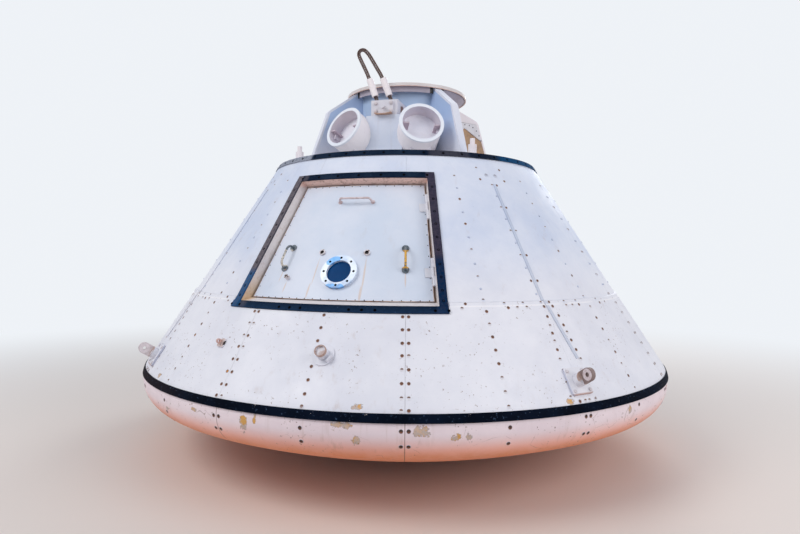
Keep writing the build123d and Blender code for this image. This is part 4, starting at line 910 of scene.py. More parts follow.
# %% Fittings
LUG_FOOT_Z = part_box("lift_lug_front_right")[0].z
LUG_EYE = (1.9599, 0.7911)
EYE_RING, EYE_HOLE = (0.0300, 0.0330), (0.0135, 0.0115)
PAINTED_STEEL, STEEL_SHADE = (0.78, 0.75, 0.78), (0.64, 0.66, 0.75)
RUSTY_FOOT, RUSTY_RIM, DARK_EDGE_AND_HOLE_SHADE = (0.40, 0.20, 0.15), (0.40, 0.20, 0.11), (0.16, 0.095, 0.080)
PAD_EDGE_SHADOW, PALE_TIP, WORN_TIP = (0.50, 0.52, 0.66), (0.80, 0.72, 0.74), (0.70, 0.62, 0.64)
NO_FOOT = (0.0, -1.0)
CORNERS = ("front_right", "rear_right", "rear_left", "front_left")
FITTINGS = (
    ("lug_paint", [f"lift_lug_{corner}" for corner in CORNERS], 0.0543, (LUG_FOOT_Z + 0.016, LUG_FOOT_Z + 0.007),
     (0.56, 0.45, 0.46), ()),
    ("stub_paint", ["stub_fitting"], 0.053, NO_FOOT, (0.30, 0.17, 0.13), ()),
    ("tie_lug_paint", ["tie_lug"], 0.0200, NO_FOOT, (0.58, 0.34, 0.29), ((-19.85, 0.9005, 0.0085, 0.011),)),
)


def tongue_of_lug(spot, old, end, tip_colour, colour):
    """A lug's plate with a painted blue shadow along its edge on the hatch side, and its tongue, which is tan on
    the right and pale on the left. Dark rust rings the eye, and its hole is lined with painted shade: both are
    steps in the distance to the eye, in radius and height."""
    arc = (45.0 - abs(spot.azimuth)) * (LUG_EYE[0] / DEGREE)
    # A painted blue shadow along the plate's edge on the hatch side.
    colour = mix(rise(arc, 0.060, 0.064) * rise(spot.off, 0.0175, 0.0165) * 0.7, colour, PAD_EDGE_SHADOW)
    right = rise(spot.azimuth, -5.0, 5.0)
    tongue = rise(spot.off, end + 0.0008, end + 0.0022)
    tip_colour = mix(rise(old.height, 0.4, 0.6), mix(right, PALE_TIP, tip_colour), WORN_TIP)
    eye_distance = length(join(spot.radius - LUG_EYE[0], spot.height - LUG_EYE[1]))
    # Dark rust at the tongue's outer edge, and painted shade lining the hole.
    ring = maths("MAXIMUM", rise(eye_distance, *EYE_RING), rise(eye_distance, *EYE_HOLE))
    return mix(ring * (right * 0.65 + 0.20) * tongue, mix(tongue, colour, tip_colour), DARK_EDGE_AND_HOLE_SHADE)


for name, wearers, end, foot, tip_colour, hole_shadows in FITTINGS:
    place = new_finish(name)
    paint = chalk(place, PAINTED_STEEL, STEEL_SHADE, 0.2)
    old = rusty(place, 45.0, 0.4)
    spot = on_capsule(place)
    worn = patchy(place, 42.0, 0.67, 0.70, 7.0, 0.7)
    colour = mix(rise(spot.height, *foot) * 0.85, mix(worn, paint.colour, old.colour), RUSTY_FOOT)
    rim = rise(spot.off, end - 0.010, end - 0.005) * patchy(place, 20.0, 0.35, 0.55)
    colour = mix(rim * 0.75, colour, RUSTY_RIM)
    # The tie eye's hole is painted dark as its shade.
    colour = add_marks(place, colour, hole_shadows, (0.02, 0.012, 0.012), 0.0, 0.2)
    if name == "lug_paint":
        colour = tongue_of_lug(spot, old, end, tip_colour, colour)
    else:
        colour = mix(rise(spot.off, end, end + 0.002) * 0.8, colour, tip_colour)
    coat(feed(place, colour, worn * 0.3 + paint.roughness, old.height - worn, 0.0008), *wearers)

# %% [markdown]
# ### Hatchway
# The reveal is white too, with a rusty pink head where water sits, painted lighter for the warm light thrown up
# onto it, and an ochre lower left corner. In the narrow gap on the right, the jamb and the hatch's side are
# painted pale, as painted light. The hatch is cleaner. Rust runs down from the two latch sockets to the sill,
# from the pull handle and from the spigot.

# %% Reveal
JOINT_RUST, HEAD_PINK_AND_BOUNCE = (0.33, 0.155, 0.075), (0.86, 0.56, 0.47)
CORNER_OCHRE, GAP_PAINTED_LIGHT = (0.62, 0.40, 0.19), (0.97, 0.84, 0.76)

place = new_finish("reveal_paint")
paint = chalk(place, (0.72, 0.67, 0.66), (0.66, 0.60, 0.62), 0.45, 0.8)
spot = on_capsule(place)
old = rusty(place, 45.0, 0.5)
wet = patchy(place, 42.0, 0.50, 0.62, 7.0, 0.75)
head = rise(spot.height, 1.845, 1.872)
corner = rise(spot.azimuth, -19.0, -21.8) * rise(spot.height, 1.36, 1.12)
gap = rise(spot.off, -0.064, -0.069) * rise(spot.azimuth, 20.8, 21.2)
# The head is pink-tan from water, painted lighter for the warm light thrown up onto it.
colour = mix(head * 0.8, paint.colour, HEAD_PINK_AND_BOUNCE)
colour = mix(head * (wet * 0.45), colour, old.colour)
colour = mix(corner * 0.8, colour, CORNER_OCHRE)
# The jamb in the gap beside the hatch is painted pale, as painted light against the gap's shade.
colour = mix(gap * 0.95, colour, GAP_PAINTED_LIGHT)
colour = mix(rise(spot.azimuth, -21.0, -21.9) * (wet * 0.2), colour, JOINT_RUST)
coat(feed(place, colour, head * 0.25 + paint.roughness, paint.height), "hatch_jamb")

# %% Hatch
HATCH_DEPTH = 0.060
HATCH_SIDE_PAINTED_LIGHT, RUN_ORANGE = (0.97, 0.86, 0.78), (0.66, 0.42, 0.25)
SOCKET_FLOOR_SHADOWS = ((-5.9, 1.421, 0.0115, 0.0098), (5.9, 1.421, 0.0115, 0.0098))
HATCH_RUNS = (
    (5.95, 1.30, 0.0075, 0.115), (5.7, 1.19, 0.010, 0.060), (-6.2, 1.31, 0.0055, 0.095), (-6.6, 1.20, 0.008, 0.055),
    (-13.2, 1.215, 0.006, 0.040), (-15.6, 1.28, 0.005, 0.045), (15.4, 1.27, 0.006, 0.050),
)
place = new_finish("hatch_paint")
paint = chalk(place, (0.69, 0.72, 0.81), (0.58, 0.65, 0.77), -0.3, 0.12)
spot = on_capsule(place)
# The floors of the latch sockets' bores are painted black as their shade.
colour = add_marks(place, paint.colour, SOCKET_FLOOR_SHADOWS, HOLE_SHADOW_BLACK, 0.0, 0.1)
colour = add_marks(place, colour, HATCH_RUNS, RUN_ORANGE, 0.1, 0.95, 0.5)
ends = maths("MAXIMUM", rise(spot.height, 1.857, 1.864), rise(spot.height, 1.1545, 1.150))
border = maths("MAXIMUM", rise(abs(spot.azimuth), 21.38, 21.5), ends)
border = border * rise(spot.off, -HATCH_DEPTH - 0.0016, -HATCH_DEPTH - 0.0006)
seep = patchy(place, 24.0, 0.30, 0.62, 6.0, 0.65)
colour = mix(border * (seep * 0.45 + 0.1), colour, JOINT_RUST)
colour = mix(rise(spot.off, -0.085, -0.075), paint.colour, colour)
# The hatch's side in the same gap is painted pale, as painted light.
gap_side = rise(spot.off, -0.061, -0.064) * rise(spot.azimuth, 21.2, 21.35)
colour = mix(gap_side * 0.95, colour, HATCH_SIDE_PAINTED_LIGHT)
coat(feed(place, colour, paint, depth=0.002), "hatch_panel")

# %% [markdown]
# ### Hatch hardware
# The grab handles were yellow; the right one still is, and the left one has lost most of it. The pull handle
# has faded to a dusty pink. The porthole has a bright metal ring with painted blue reflections of the sky,
# round an opaque pane painted dark blue for the dark cabin behind it and the sky reflected in it. The latch
# sockets are dark with rust, and their bores and the spigot's end are painted black as the shade in them. The
# glass keeps plain values on the shader, so the export can carry them.

# %% Handles
DARK_STEEL, STEEL, OLD_CREAM, YELLOW = (0.055, 0.075, 0.095), (0.16, 0.19, 0.22), (0.62, 0.56, 0.48), (0.66, 0.34, 0.03)
PULL_PINK, PULL_BROWN = (0.66, 0.56, 0.58), (0.52, 0.40, 0.40)
GRAB_MIDDLE_Z = sum(corner.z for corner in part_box("grab_handles")) / 2

place = new_finish("grab_yellow")
x, y, z = split(place)
right_side = rise(x, -0.1, 0.1)
old = rusty(place, 80.0, 0.4)
cover = right_side * -0.02 + 0.43
kept = rise(grain(place, 55.0, 5.0, 0.65), cover, cover + 0.04)
bar = rise(abs(z - GRAB_MIDDLE_Z), 0.056, 0.047)
steel = mix(rise(old.height, 0.4, 0.6), DARK_STEEL, STEEL)
colour = mix(kept * bar, steel, mix(right_side, OLD_CREAM, YELLOW))
colour = mix(rise(old.height, 0.60, 0.68), colour, old.colour)
coat(feed(place, colour, 0.42, kept, 0.0005), "grab_handles")

place = new_finish("pull_pink")
old = rusty(place, 70.0, 0.2)
faded = mix(patchy(place, 28.0, 0.4, 0.6), PULL_PINK, PULL_BROWN)
colour = mix(patchy(place, 60.0, 0.68, 0.74, 6.0, 0.7), faded, old.colour)
coat(feed(place, colour, 0.6, old.height, 0.0005), "pull_handle")

# %% Latch sockets and porthole
SOCKET_PALE, PORT_SILVER, PORT_SKY_TINT = (0.70, 0.66, 0.68), (0.68, 0.74, 0.84), (0.16, 0.42, 0.78)
SKY_REFLECTION_BLUE, PORT_BROWN = (0.13, 0.40, 0.80), (0.24, 0.12, 0.07)
PANE_CABIN_DARK, PANE_REFLECTED_SKY = (0.001, 0.032, 0.115), (0.002, 0.060, 0.200)
HOLE_FLAT = 0.85
SOCKET_HOLE_SHADOWS = ((-5.9, 1.425, 0.0125), (5.9, 1.425, 0.0125), (-13.2, 1.282, 0.0075))
PORT_SKY_REFLECTIONS = ((-2.6, 1.372, 0.030, 0.024), (-1.2, 1.385, 0.030, 0.016), (-0.9, 1.222, 0.050, 0.024),
              (1.0, 1.228, 0.030, 0.018))

place = new_finish("rusty_socket")
old = rusty(place, 110.0, 0.5)
colour = mix(patchy(place, 75.0, 0.52, 0.60, 5.0, 0.6), SOCKET_PALE, old.colour)
# The socket bores and the spigot's end are painted black as the shade inside them.
colour = add_marks(place, colour, [(*hole, HOLE_FLAT * hole[2]) for hole in SOCKET_HOLE_SHADOWS], HOLE_SHADOW_BLACK, 0.0, 0.15)
coat(feed(place, colour, old.height * 0.3 + 0.55, old.height, 0.001), "latch_sockets")

place = new_finish("port_metal")
# The blue tint and the blue arcs on the ring are painted reflections of the sky.
cloud = patchy(place, 11.0, 0.40, 0.60, 4.0, 0.5)
colour = add_marks(place, mix(cloud * 0.25, PORT_SILVER, PORT_SKY_TINT), PORT_SKY_REFLECTIONS, SKY_REFLECTION_BLUE, 0.25, 0.35, 0.9)
foot = rise(on_capsule(place).height, 1.27, 1.20) * patchy(place, 60.0, 0.38, 0.58, 5.0)
colour = mix(foot * 0.7, colour, PORT_BROWN)
coat(feed(place, colour, cloud * 0.18 + 0.36, grain(place, 140.0), 0.0003, Metallic=0.15), "port_flange")

place = new_finish("port_pane")
# The pane is opaque; its dark blue stands for the dark cabin behind it and the sky reflected in the glass, as painted
# shade and painted reflection.
colour = mix(grain(place, 9.0, 3.0), PANE_CABIN_DARK, PANE_REFLECTED_SKY)
coat(feed(place, colour, grain(place, 40.0) * 0.12 + 0.16, Specular_IOR_Level=0.03), "port_glass")

# %% [markdown]
# ### Wire rope
# Rusty steel wire. The strands' wires lie at a slant, so a wave over the length and the turn round each strand,
# both kept as attributes by the strand function, draws them as fine ridges.

# %% Wire rope
WIRES_PER_METRE, WIRES_ROUND = 420.0, 6.0
WIRE_GREY, GROOVE_DARK = (0.20, 0.135, 0.125), (0.07, 0.042, 0.038)


def attribute(place, name):
    """A value that each vertex carries under this name."""
    node = place.tree.nodes.new("ShaderNodeAttribute")
    node.attribute_name = name
    return Value(node.outputs["Fac"])


place = new_finish("rusty_wire")
slant = attribute(place, "along") * WIRES_PER_METRE + attribute(place, "round") * WIRES_ROUND
ridge = maths("SINE", slant)
old = rusty(place, 85.0, 0.25)
colour = mix(patchy(place, 30.0, 0.30, 0.55, 5.0), old.colour, WIRE_GREY)
colour = mix(rise(ridge, 0.0, -1.0), colour, GROOVE_DARK)
rusty_wire = feed(place, colour, old.height * 0.3 + 0.42, ridge, 0.0004)
for rope in ropes:
    rope.data.materials.append(rusty_wire)
print("rope finish on", [rope.name for rope in ropes])

# %% [markdown]
# ## Bolts
# Hundreds of fasteners hold the plates to the frames inside. Most sit in a countersunk hole whose paint has
# broken away, so each reads as a dark rusty dot with a paler lip. They could be objects, one each, but one
# mesh for each kind is lighter. A turned profile, given as radius and height, is swept round every bolt's
# own normal in one array. Three attributes go with it: how far out a point is, how far it lies on the bolt's
# upper side, and a chance value that makes one bolt rustier than the next.
#
# On a skin bolt the paint is rust in the middle, a broken lip, and the skin's own white at the outer edge,
# so that no line shows where the bolt's collar ends. Chance decides how rusty each one is.

# %% Bolt finishes
BOLT_RUST, BOLT_DEEP, HOLE_SHADE = (0.24, 0.085, 0.035), (0.070, 0.020, 0.012), (0.030, 0.016, 0.013)
BOLT_ORANGE, STAINED_LIP, BOLT_BLACK = (0.62, 0.26, 0.05), (0.66, 0.56, 0.52), (0.0008, 0.0008, 0.0016)


def bolt_finish(name, rim_colour, lip_colour, rust_to, fresh, dark, paint_and_highlight):
    """Rust out to a share of the bolt's radius, a broken lip, then the skin's white. The upper half of the
    hole is painted in its own shade; on nearly half of the heads the lower half is painted pale, partly paint
    still on it and partly a painted highlight on the lit lower lip."""
    place = new_finish(name)
    reach, chance, upper = (attribute(place, label) for label in ("reach", "chance", "upper"))
    old = rusty(place, 150.0, fresh)
    paint = chalk(place, rim_colour, COOL_WHITE, 0.1, dust=0.1)
    spread = chance * 0.14 + rust_to
    ragged = reach + (grain(place, 240.0, 3.0) * 0.3 - 0.15)
    outside = rise(ragged, spread - 0.12, spread + 0.12)
    colour = mix(outside, mix(rise(old.height, 0.38, 0.62), BOLT_DEEP, BOLT_RUST), lip_colour)
    colour = mix(rise(reach, 0.80, 0.97), colour, paint.colour)
    shaded = rise(reach, 0.86, 0.70) * rise(upper, -0.35, 0.15)
    colour = mix(shaded * dark, colour, HOLE_SHADE)
    # On nearly half the heads the lower half is pale: paint still on it, and a painted highlight on the lit lower lip.
    kept = rise(chance, 0.46, 0.40) * rise(upper, 0.16, -0.02)
    colour = mix(kept * paint_and_highlight, colour, rim_colour)
    colour = mix(rise(reach, 0.70, 0.50) * rise(chance, 0.980, 0.990), colour, BOLT_ORANGE)
    return feed(place, colour, 0.6, old.height, 0.0006)


plug_paint = bolt_finish("white_plug", WHITE, (0.56, 0.58, 0.68), 0.0, 0.0, 0.35, 0.0)
skin_bolt_paint = bolt_finish("rusty_skin_bolt", WHITE, STAINED_LIP, 0.62, 0.3, 0.40, 0.85)
skirt_bolt_paint = bolt_finish("rusty_skirt_bolt", SKIRT_WHITE, STAINED_LIP, 0.64, 0.3, 0.40, 0.75)
base_bolt_paint = bolt_finish("rusty_base_bolt", WARM_WHITE, (0.26, 0.17, 0.15), 0.76, 0.1, 1.0, 0.0)
domed_paint = plain_finishes["painted_bolt_white"]
place = new_finish("dark_bolt")
old = rusty(place, 160.0, 0.1)
colour = mix(rise(old.height, 0.64, 0.70) * 0.5, BOLT_BLACK, old.colour)
dark_paint = feed(place, colour, 0.6, old.height, 0.0004, Specular_IOR_Level=0.01)
print("bolt finishes made")

# %% [markdown]
# A bolt's place is a point and a normal. On the cone both follow from azimuth, height and how deep the face
# lies under the mould cone. In a flat face that touches the cone they follow from offsets in that face.

# %% Places on the cone and in flat faces
UPPER_DEPTH, LOWER_DEPTH = 0.004, -0.004


def facing(azimuth, tilt=0.0):
    """Unit vectors that point outwards at an azimuth in degrees, raised by the tilt, which is in radians."""
    azimuth = np.radians(azimuth)
    parts = np.cos(tilt) * np.sin(azimuth), -np.cos(tilt) * np.cos(azimuth), np.sin(tilt)
    return np.stack(np.broadcast_arrays(*parts), axis=-1)


def on_cone(azimuth, height, depth):
    """Points on the cone that lies depth under the mould cone, and their normals. The radius falls by the
    slope's tangent for each metre of height, and by the depth over the slope's cosine."""
    azimuth, height = np.asarray(azimuth, float), np.asarray(height, float)
    radius = TANGENT_R - (height - TANGENT_Z) * SLOPE_SIN / SLOPE_COS - depth / SLOPE_COS
    points = radius[..., None] * facing(azimuth) + height[..., None] * np.array([0.0, 0.0, 1.0])
    return points, facing(azimuth, SLOPE_ANGLE)


def in_face(azimuth, height, depth, offsets, lift):
    """Points at (round, up) offsets in the flat face that touches the cone, lifted along its normal."""
    middle, normal = on_cone(azimuth, height, depth)
    level = facing(azimuth + 90.0)
    points = middle + offsets[:, :1] * level + offsets[:, 1:] * np.cross(normal, level) + lift * normal
    return points, np.tile(normal, (len(points), 1))


def together(*places):
    """Several pairs of points and normals as one pair."""
    return [np.concatenate(parts) for parts in zip(*places)]


def turned_copies(name, profile, places, seed, paint, body="capsule", around=8):
    """One mesh of many turned parts. A ring point is the place, plus the profile's radius times a circle in
    the plane square to the normal, plus its height along the normal; poles close both ends."""
    points, normals = places
    out, up = np.asarray(profile, float).T
    count, rings = len(points), len(out) - 2
    side = unit(np.cross(np.where(np.abs(normals[:, 2:]) > 0.9, [[1.0, 0.0, 0.0]], [[0.0, 0.0, 1.0]]), normals))
    circle = circles(np.linspace(0, 2 * np.pi, around, endpoint=False), side, np.cross(normals, side))
    ring = points[:, None, None] + up[1:-1, None, None] * normals[:, None, None]
    ring = ring + out[1:-1, None, None] * circle[:, None]
    poles = points[:, None] + up[[0, -1], None] * normals[:, None]
    vertices = np.concatenate([ring.reshape(count, -1, 3), poles], axis=1)
    size = vertices.shape[1]
    offsets = (np.arange(count) * size)[:, None, None]
    faces = [(group + offsets).reshape(-1, group.shape[1]) for group in tube_faces(rings, around)]
    reach = np.concatenate([np.repeat(out[1:-1], around), out[[0, -1]]]) / out.max()
    lean = np.concatenate([np.tile(circle[..., 2], (1, rings)), np.zeros((count, 2))], axis=1)
    chance = np.random.default_rng(seed).random(count)
    shares = {"reach": np.tile(reach, count), "chance": np.repeat(chance, size), "upper": (lean * reach).ravel()}
    return make_piece(name, vertices.reshape(-1, 3), faces, body, shares, paint)


# %% [markdown]
# Bolt rows are tables of azimuths and heights as seen on the outer face. One quarter is written down; the
# other three repeat it, turned for the rows and mirrored for what stands beside the battens.

# %% Tables of rows
DARK_HEIGHTS = (1.913, 1.758, 1.601, 1.446, 1.292, 1.166)
PALE_HEIGHTS = (1.832, 1.674, 1.519, 1.364, 1.225)
SKIRT_HEIGHTS = 1.106 - 0.0642 * np.arange(8)
FRONT_HEIGHTS = (1.080, 1.016, 0.951, 0.892, 0.828, 0.766, 0.703, 0.649)
BATTEN_STEPS = 0.1497 * np.arange(5)
DOUBLE_ROWS, PAIR_HALF, HATCH_CLEAR_AZIMUTH = (15.5, -15.5), 0.55, 25.0
LAP_UPPER = (-17.9, -9.7, -5.4, -0.9, 1.3, 5.7, 9.6, 18.0)
LAP_LOWER = (-18.7, -9.1, -4.8, -0.5, 1.8, 5.9, 10.1, 19.0, -22.5, -7.0, 7.9, 22.0)
LAP_UPPER_HEIGHT, LAP_LOWER_HEIGHT = 1.1465, 1.123
LEFT_FOOT = np.array([1.069, 1.021, 0.982, 0.942, 0.898, 0.851, 0.797, 0.739, 0.673])
RIGHT_FOOT = np.array([1.071, 1.020, 0.982, 0.940, 0.890, 0.842])


def cross_table(azimuths, heights):
    """Every azimuth with every height, as two flat arrays."""
    grid = np.meshgrid(azimuths, heights, indexing="ij")
    return grid[0].ravel(), grid[1].ravel()


def all_quarters(azimuths):
    """The azimuths of one quarter repeated in all four, wrapped to -180..180."""
    turned = (np.asarray(azimuths, float) + np.array([[0.0], [90.0], [180.0], [270.0]])).ravel()
    return (turned + 180.0) % 360.0 - 180.0


def corner_pairs(azimuths):
    """The azimuths of the front right corner, mirrored to the other three corners."""
    first = np.asarray(azimuths, float)
    return np.concatenate([first, -first, 180.0 - first, first - 180.0])


def foot_row(azimuth, drift, heights):
    """A slanted row beside a batten in each corner: its azimuth drifts with the height below its top."""
    return corner_pairs(azimuth + drift * (heights[0] - heights)), np.tile(heights, 4)


doubles = [row + side * PAIR_HALF for row in DOUBLE_ROWS for side in (-1, 1)]
row_azimuths = all_quarters([0.0, 31.1, *doubles, -31.1])
clear = np.abs(row_azimuths) > HATCH_CLEAR_AZIMUTH
upper_dark = np.concatenate([
    cross_table(row_azimuths[clear], DARK_HEIGHTS),
    cross_table(corner_pairs((44.1, 45.95)), 1.865 - BATTEN_STEPS),
    cross_table(corner_pairs((40.2, 50.2)), (1.979, 1.90)),
], axis=1)
upper_pale = np.concatenate([
    cross_table(row_azimuths[clear], PALE_HEIGHTS),
    cross_table(corner_pairs([44.1]), 1.79 - BATTEN_STEPS),
], axis=1)
skirt_dark = np.concatenate([
    cross_table(row_azimuths[clear], SKIRT_HEIGHTS),
    cross_table(row_azimuths[~clear], FRONT_HEIGHTS),
    foot_row(44.3, -4.76, LEFT_FOOT),
    foot_row(47.35, 3.2, RIGHT_FOOT),
    cross_table(corner_pairs((43.9, 45.1, 46.0, 47.4)), (0.648,)),
], axis=1)
lap_upper = cross_table(all_quarters(45.0 + np.array(LAP_UPPER)), (LAP_UPPER_HEIGHT,))
lap_lower = cross_table(all_quarters(45.0 + np.array(LAP_LOWER)), (LAP_LOWER_HEIGHT,))
print("upper", upper_dark.shape[1], "pale", upper_pale.shape[1], "skirt", skirt_dark.shape[1])

# %% Countersunk and domed bolts of the skin
HOLE_PROFILE = np.array([(0, -0.8), (9.8, -0.8), (9.8, 0.18), (8.6, 0.9), (7.4, 1.3), (5.8, 0.4), (0, 0.15)]) / 1000
DOME_PROFILE = np.array([(0, -0.8), (7.5, -0.8), (7.5, 1.0), (6.0, 3.2), (2.9, 4.3), (0, 4.5)]) / 1000
WIDER_UPPER, WIDER_SKIRT, WIDER_PLUG, WIDER_BASE = (1.15, 1.0), (1.25, 1.0), (1.75, 1.0), (1.3, 1.0)
upper_places = together(on_cone(*upper_dark, UPPER_DEPTH), on_cone(*lap_upper, LOWER_DEPTH))
skirt_places = together(on_cone(*skirt_dark, LOWER_DEPTH), on_cone(*lap_lower, LOWER_DEPTH))
plug_places = on_cone(*cross_table(corner_pairs((43.3, 47.0)), (1.932,)), UPPER_DEPTH)
turned_copies("skin_bolts", HOLE_PROFILE * WIDER_UPPER, upper_places, 29, skin_bolt_paint)
turned_copies("skirt_bolts", HOLE_PROFILE * WIDER_SKIRT, skirt_places, 31, skirt_bolt_paint)
turned_copies("head_plugs", HOLE_PROFILE * WIDER_PLUG, plug_places, 37, plug_paint)
turned_copies("painted_bolts", DOME_PROFILE, on_cone(*upper_pale, UPPER_DEPTH), 5, plain_finishes["painted_bolt_blue"])

# %% [markdown]
# The base's corner is a quarter round: a circle of its own round a ring. A bolt there lies at that ring, plus
# the corner's radius times its normal, and the normal is the outward direction tilted by the bolt's angle.

# %% Bolts of the base corner
CORNER_RING_R, CORNER_RING_Z, CORNER_R = 1.7602, 0.5543, 0.1956
UPPER_ROW, LOWER_ROW = ((-15.0, 0.0, 15.0, 31.0, 45.0, 60.0), (-2.7, -2.5, -0.2, 1.3, 4.4, 2.9)), -24.5
base_azimuth, row = cross_table(all_quarters([0.0, 31.0, -31.0, *doubles, 44.7, 45.7]), (0, 1))
base_tilt = np.radians(np.where(row == 0, np.interp(base_azimuth, *UPPER_ROW), LOWER_ROW))
base_normals = facing(base_azimuth, base_tilt)
base_points = CORNER_RING_R * facing(base_azimuth) + CORNER_R * base_normals + (0.0, 0.0, CORNER_RING_Z)
turned_copies("base_bolts", HOLE_PROFILE * WIDER_BASE, (base_points, base_normals), 11, base_bolt_paint)

# %% Bolts of the trim and the hatch
TRIM_PROUD, TRIM_AZIMUTH, TRIM_SIDE_OUT, SMALL = 0.008, 22.0, 0.024, 0.9
TRIM_TOP_HEIGHT, TRIM_FOOT_HEIGHT = 1.9115, 1.113
TRIM_FOOT = (-23.7, -21.1, -10.2, -7.7, -5.3, 4.7, 7.2, 9.75, 21.05, 23.65)
TRIM_SIDE_HEIGHTS = (1.833, 1.754, 1.675, 1.598, 1.518, 1.443, 1.362, 1.29, 1.219, 1.163)
RIVET_PROFILE = np.array([(0, -0.6), (3.4, -0.6), (3.4, 0.4), (2.2, 1.0), (0, 1.2)]) / 1000
trim_top = cross_table(np.linspace(-TRIM_AZIMUTH, TRIM_AZIMUTH, 7), (TRIM_TOP_HEIGHT,))
side_azimuth, side_height = cross_table((-TRIM_AZIMUTH, TRIM_AZIMUTH), TRIM_SIDE_HEIGHTS)
side_points, side_normals = on_cone(side_azimuth, side_height, UPPER_DEPTH - TRIM_PROUD)
side_points += np.sign(side_azimuth)[:, None] * TRIM_SIDE_OUT * facing(side_azimuth + 90.0)
trim_places = together(
    on_cone(*trim_top, UPPER_DEPTH - TRIM_PROUD),
    on_cone(*cross_table(TRIM_FOOT, (TRIM_FOOT_HEIGHT,)), LOWER_DEPTH - TRIM_PROUD),
    (side_points, side_normals),
)
turned_copies("trim_bolts", HOLE_PROFILE * SMALL, trim_places, 3, dark_paint)
rivet_table = np.concatenate([
    cross_table(np.linspace(-20.4, 20.45, 22), (1.157,)),
    cross_table(np.linspace(-20.2, 20.2, 15), (1.845,)),
    cross_table((-21.0, 21.0), np.linspace(1.215, 1.785, 10)),
], axis=1)
turned_copies("hatch_rivets", RIVET_PROFILE, on_cone(*rivet_table, HATCH_DEPTH), 8, dark_paint, "crew_hatch")

# %% Bolts of the porthole and the lift lugs
HEX_PROFILE = np.array([(0, -1.0), (10.5, -1.0), (10.5, 5.2), (9.2, 6.4), (0, 6.4)]) / 1000
PORT_HEIGHT, PORT_BOLT_R, PORT_FACE, PORT_SMALL = 1.305, 0.092, 0.0183, 0.8
LUG_AZIMUTHS, LUG_FACE = (45.0, 135.0, -135.0, -45.0), 0.012
LUG_HEIGHT = 0.737 - LOWER_DEPTH * SLOPE_SIN
LUG_BOLTS = np.array([(-0.055, 0.056), (0.055, 0.056), (-0.055, -0.056), (0.055, -0.056)])
eighths = np.radians(45.0 * np.arange(8) + 1.0)
port_ring = PORT_BOLT_R * np.stack([np.cos(eighths), np.sin(eighths)], axis=1)
port_places = in_face(0.0, PORT_HEIGHT, HATCH_DEPTH, port_ring, PORT_FACE)
turned_copies("port_bolts", HOLE_PROFILE * PORT_SMALL, port_places, 4, dark_paint, "crew_hatch")
lug_places = together(*[in_face(azimuth, LUG_HEIGHT, LOWER_DEPTH, LUG_BOLTS, LUG_FACE) for azimuth in LUG_AZIMUTHS])
turned_copies("lug_bolts", HEX_PROFILE, lug_places, 6, domed_paint, around=6)

# %% Bolts of the clamp plate, the doublers and the rim band
CLAMP_LARGE, CLAMP_FACE_Y, CLAMP_INSET, CLAMP_ROWS_Z = 1.35, -0.626, 0.014, (2.434, 2.490)
DOUBLER_BOLTS = np.array([(0.500, 2.528), (0.550, 2.528), (0.596, 2.526), (0.634, 2.514), (0.671, 2.488),
                          (0.700, 2.450), (0.722, 2.410)])
DOUBLER_FACE = 0.0358
DOUBLER_PROFILE = np.array([(0, -0.8), (5.0, -0.8), (5.0, 1.0), (3.4, 2.0), (0, 2.2)]) / 1000
RIM_PROUD, RIM_BOLTS = 0.006, 50
clamp_low, clamp_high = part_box("clamp_plate")
clamp_x = (clamp_low.x + CLAMP_INSET, clamp_high.x - CLAMP_INSET)
clamp_points = np.array([(x, CLAMP_FACE_Y, z) for x in clamp_x for z in CLAMP_ROWS_Z])
clamp_places = clamp_points, np.tile([0.0, -1.0, 0.0], (4, 1))
turned_copies("clamp_bolts", HEX_PROFILE * CLAMP_LARGE, clamp_places, 2, domed_paint, around=6)

doubler_places = []
for azimuth, face_side in ((135.0, -1.0), (-135.0, 1.0)):
    square = face_side * facing(azimuth + 90.0)
    points = DOUBLER_BOLTS[:, :1] * facing(azimuth) + DOUBLER_BOLTS[:, 1:] * np.array([0.0, 0.0, 1.0])
    doubler_places.append((points + DOUBLER_FACE * square, np.tile(square, (len(points), 1))))
turned_copies("doubler_bolts", DOUBLER_PROFILE, together(*doubler_places), 9, dark_paint, around=6)

rim_height = sum(corner.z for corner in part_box("rim_band")) / 2
rim_table = cross_table(np.arange(RIM_BOLTS) * (360.0 / RIM_BOLTS) - 180.0, (rim_height,))
turned_copies("rim_bolts", HOLE_PROFILE * SMALL, on_cone(*rim_table, UPPER_DEPTH - RIM_PROUD), 7, dark_paint)

# %% [markdown]
# ## Small plates at the harness box
# A curved rusty lip hangs under the clamp plate, and a short lug stands on the box's right side. Both are
# plain blocks; the lip's block has many columns so that its foot can sag in the middle by a parabola.

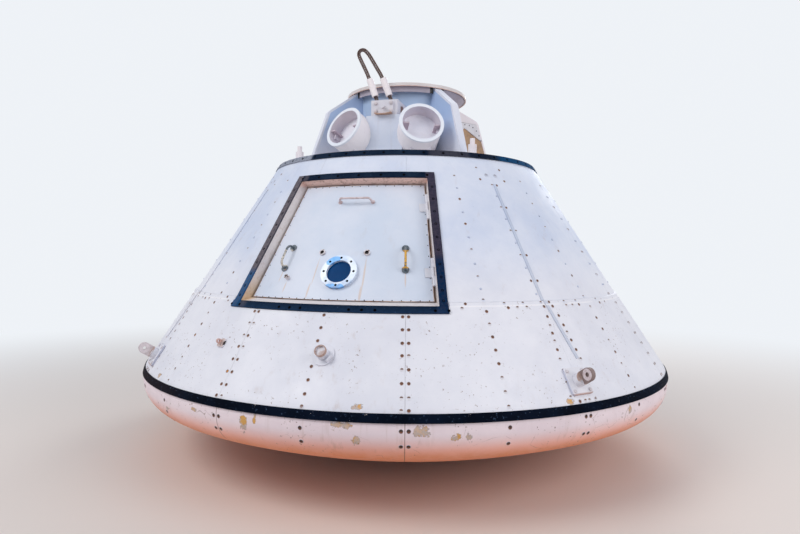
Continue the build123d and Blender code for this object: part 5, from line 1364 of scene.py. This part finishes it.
# %% Lip and lug
LIP_HALF, LIP_TOP_Z, LIP_DEEP, LIP_SAG, LIP_STEPS = 0.062, 2.4195, 0.0045, 0.006, 16
LIP_Y = (-0.652, -0.6105)
LUG_BLOCK = ((0.1005, -0.530, 2.440), (0.112, -0.500, 2.482))
lip_x = np.linspace(-LIP_HALF, LIP_HALF, LIP_STEPS)
lip_z = LIP_TOP_Z - LIP_SAG * (1 - (lip_x / LIP_HALF) ** 2)
section = np.array([(LIP_Y[0], -LIP_DEEP), (LIP_Y[1], -LIP_DEEP), (LIP_Y[1], 0.0), (LIP_Y[0], 0.0)])
lip_y, drop = np.tile(section, (LIP_STEPS, 1)).T
lip = np.column_stack([np.repeat(lip_x, 4), lip_y, np.repeat(lip_z, 4) + drop])
make_piece("clamp_lip", lip, [bar_faces(LIP_STEPS)], paint=plain_finishes["lip_rust"], flat=True)
(x0, y0, z0), (x1, y1, z1) = LUG_BLOCK
block = np.array([(x, y, z) for z in (z0, z1) for x, y in ((x0, y0), (x1, y0), (x1, y1), (x0, y1))])
make_piece("box_lug", block, [bar_faces(2)], paint=plain_finishes["box_lug_paint"], flat=True)

# %% [markdown]
# ## Hatch joint bead
# Between hatch and frame runs a thin line of old sealant, stained by rust. A half-buried round bead follows the
# hatch's four edges: its path is the edge line on the hatch's face, and its section a small circle.

# %% Hatch joint bead
BEAD_RADIUS, EDGE_STEPS, AROUND_BEAD = 0.0024, 90, 6
HATCH_AZIMUTHS, HATCH_HEIGHTS = (-21.45, 21.45), (1.152, 1.852)
BEAD_TAN = (0.55, 0.40, 0.32)

way = np.arange(4 * EDGE_STEPS) / EDGE_STEPS
bead_azimuth = np.interp(way, range(5), np.take(HATCH_AZIMUTHS, (0, 1, 1, 0, 0)))
bead_height = np.interp(way, range(5), np.take(HATCH_HEIGHTS, (0, 0, 1, 1, 0)))
bead_line, bead_normal = on_cone(bead_azimuth, bead_height, HATCH_DEPTH)
bead_side = np.cross(bead_normal, unit(np.roll(bead_line, -1, axis=0) - np.roll(bead_line, 1, axis=0)))
angle = np.linspace(0, 2 * np.pi, AROUND_BEAD, endpoint=False)
bead_points = (bead_line[:, None] + BEAD_RADIUS * circles(angle, bead_normal, -bead_side)).reshape(-1, 3)
bead_faces = join_grid(len(way) + 1, AROUND_BEAD) % len(bead_points)
place = new_finish("stained_sealant")
old = rusty(place, 35.0, 0.6)
bead_paint = feed(place, mix(patchy(place, 18.0, 0.35, 0.6, 5.0), BEAD_TAN, old.colour), 0.75)
make_piece("hatch_bead", bead_points, [bead_faces], "crew_hatch", paint=bead_paint)
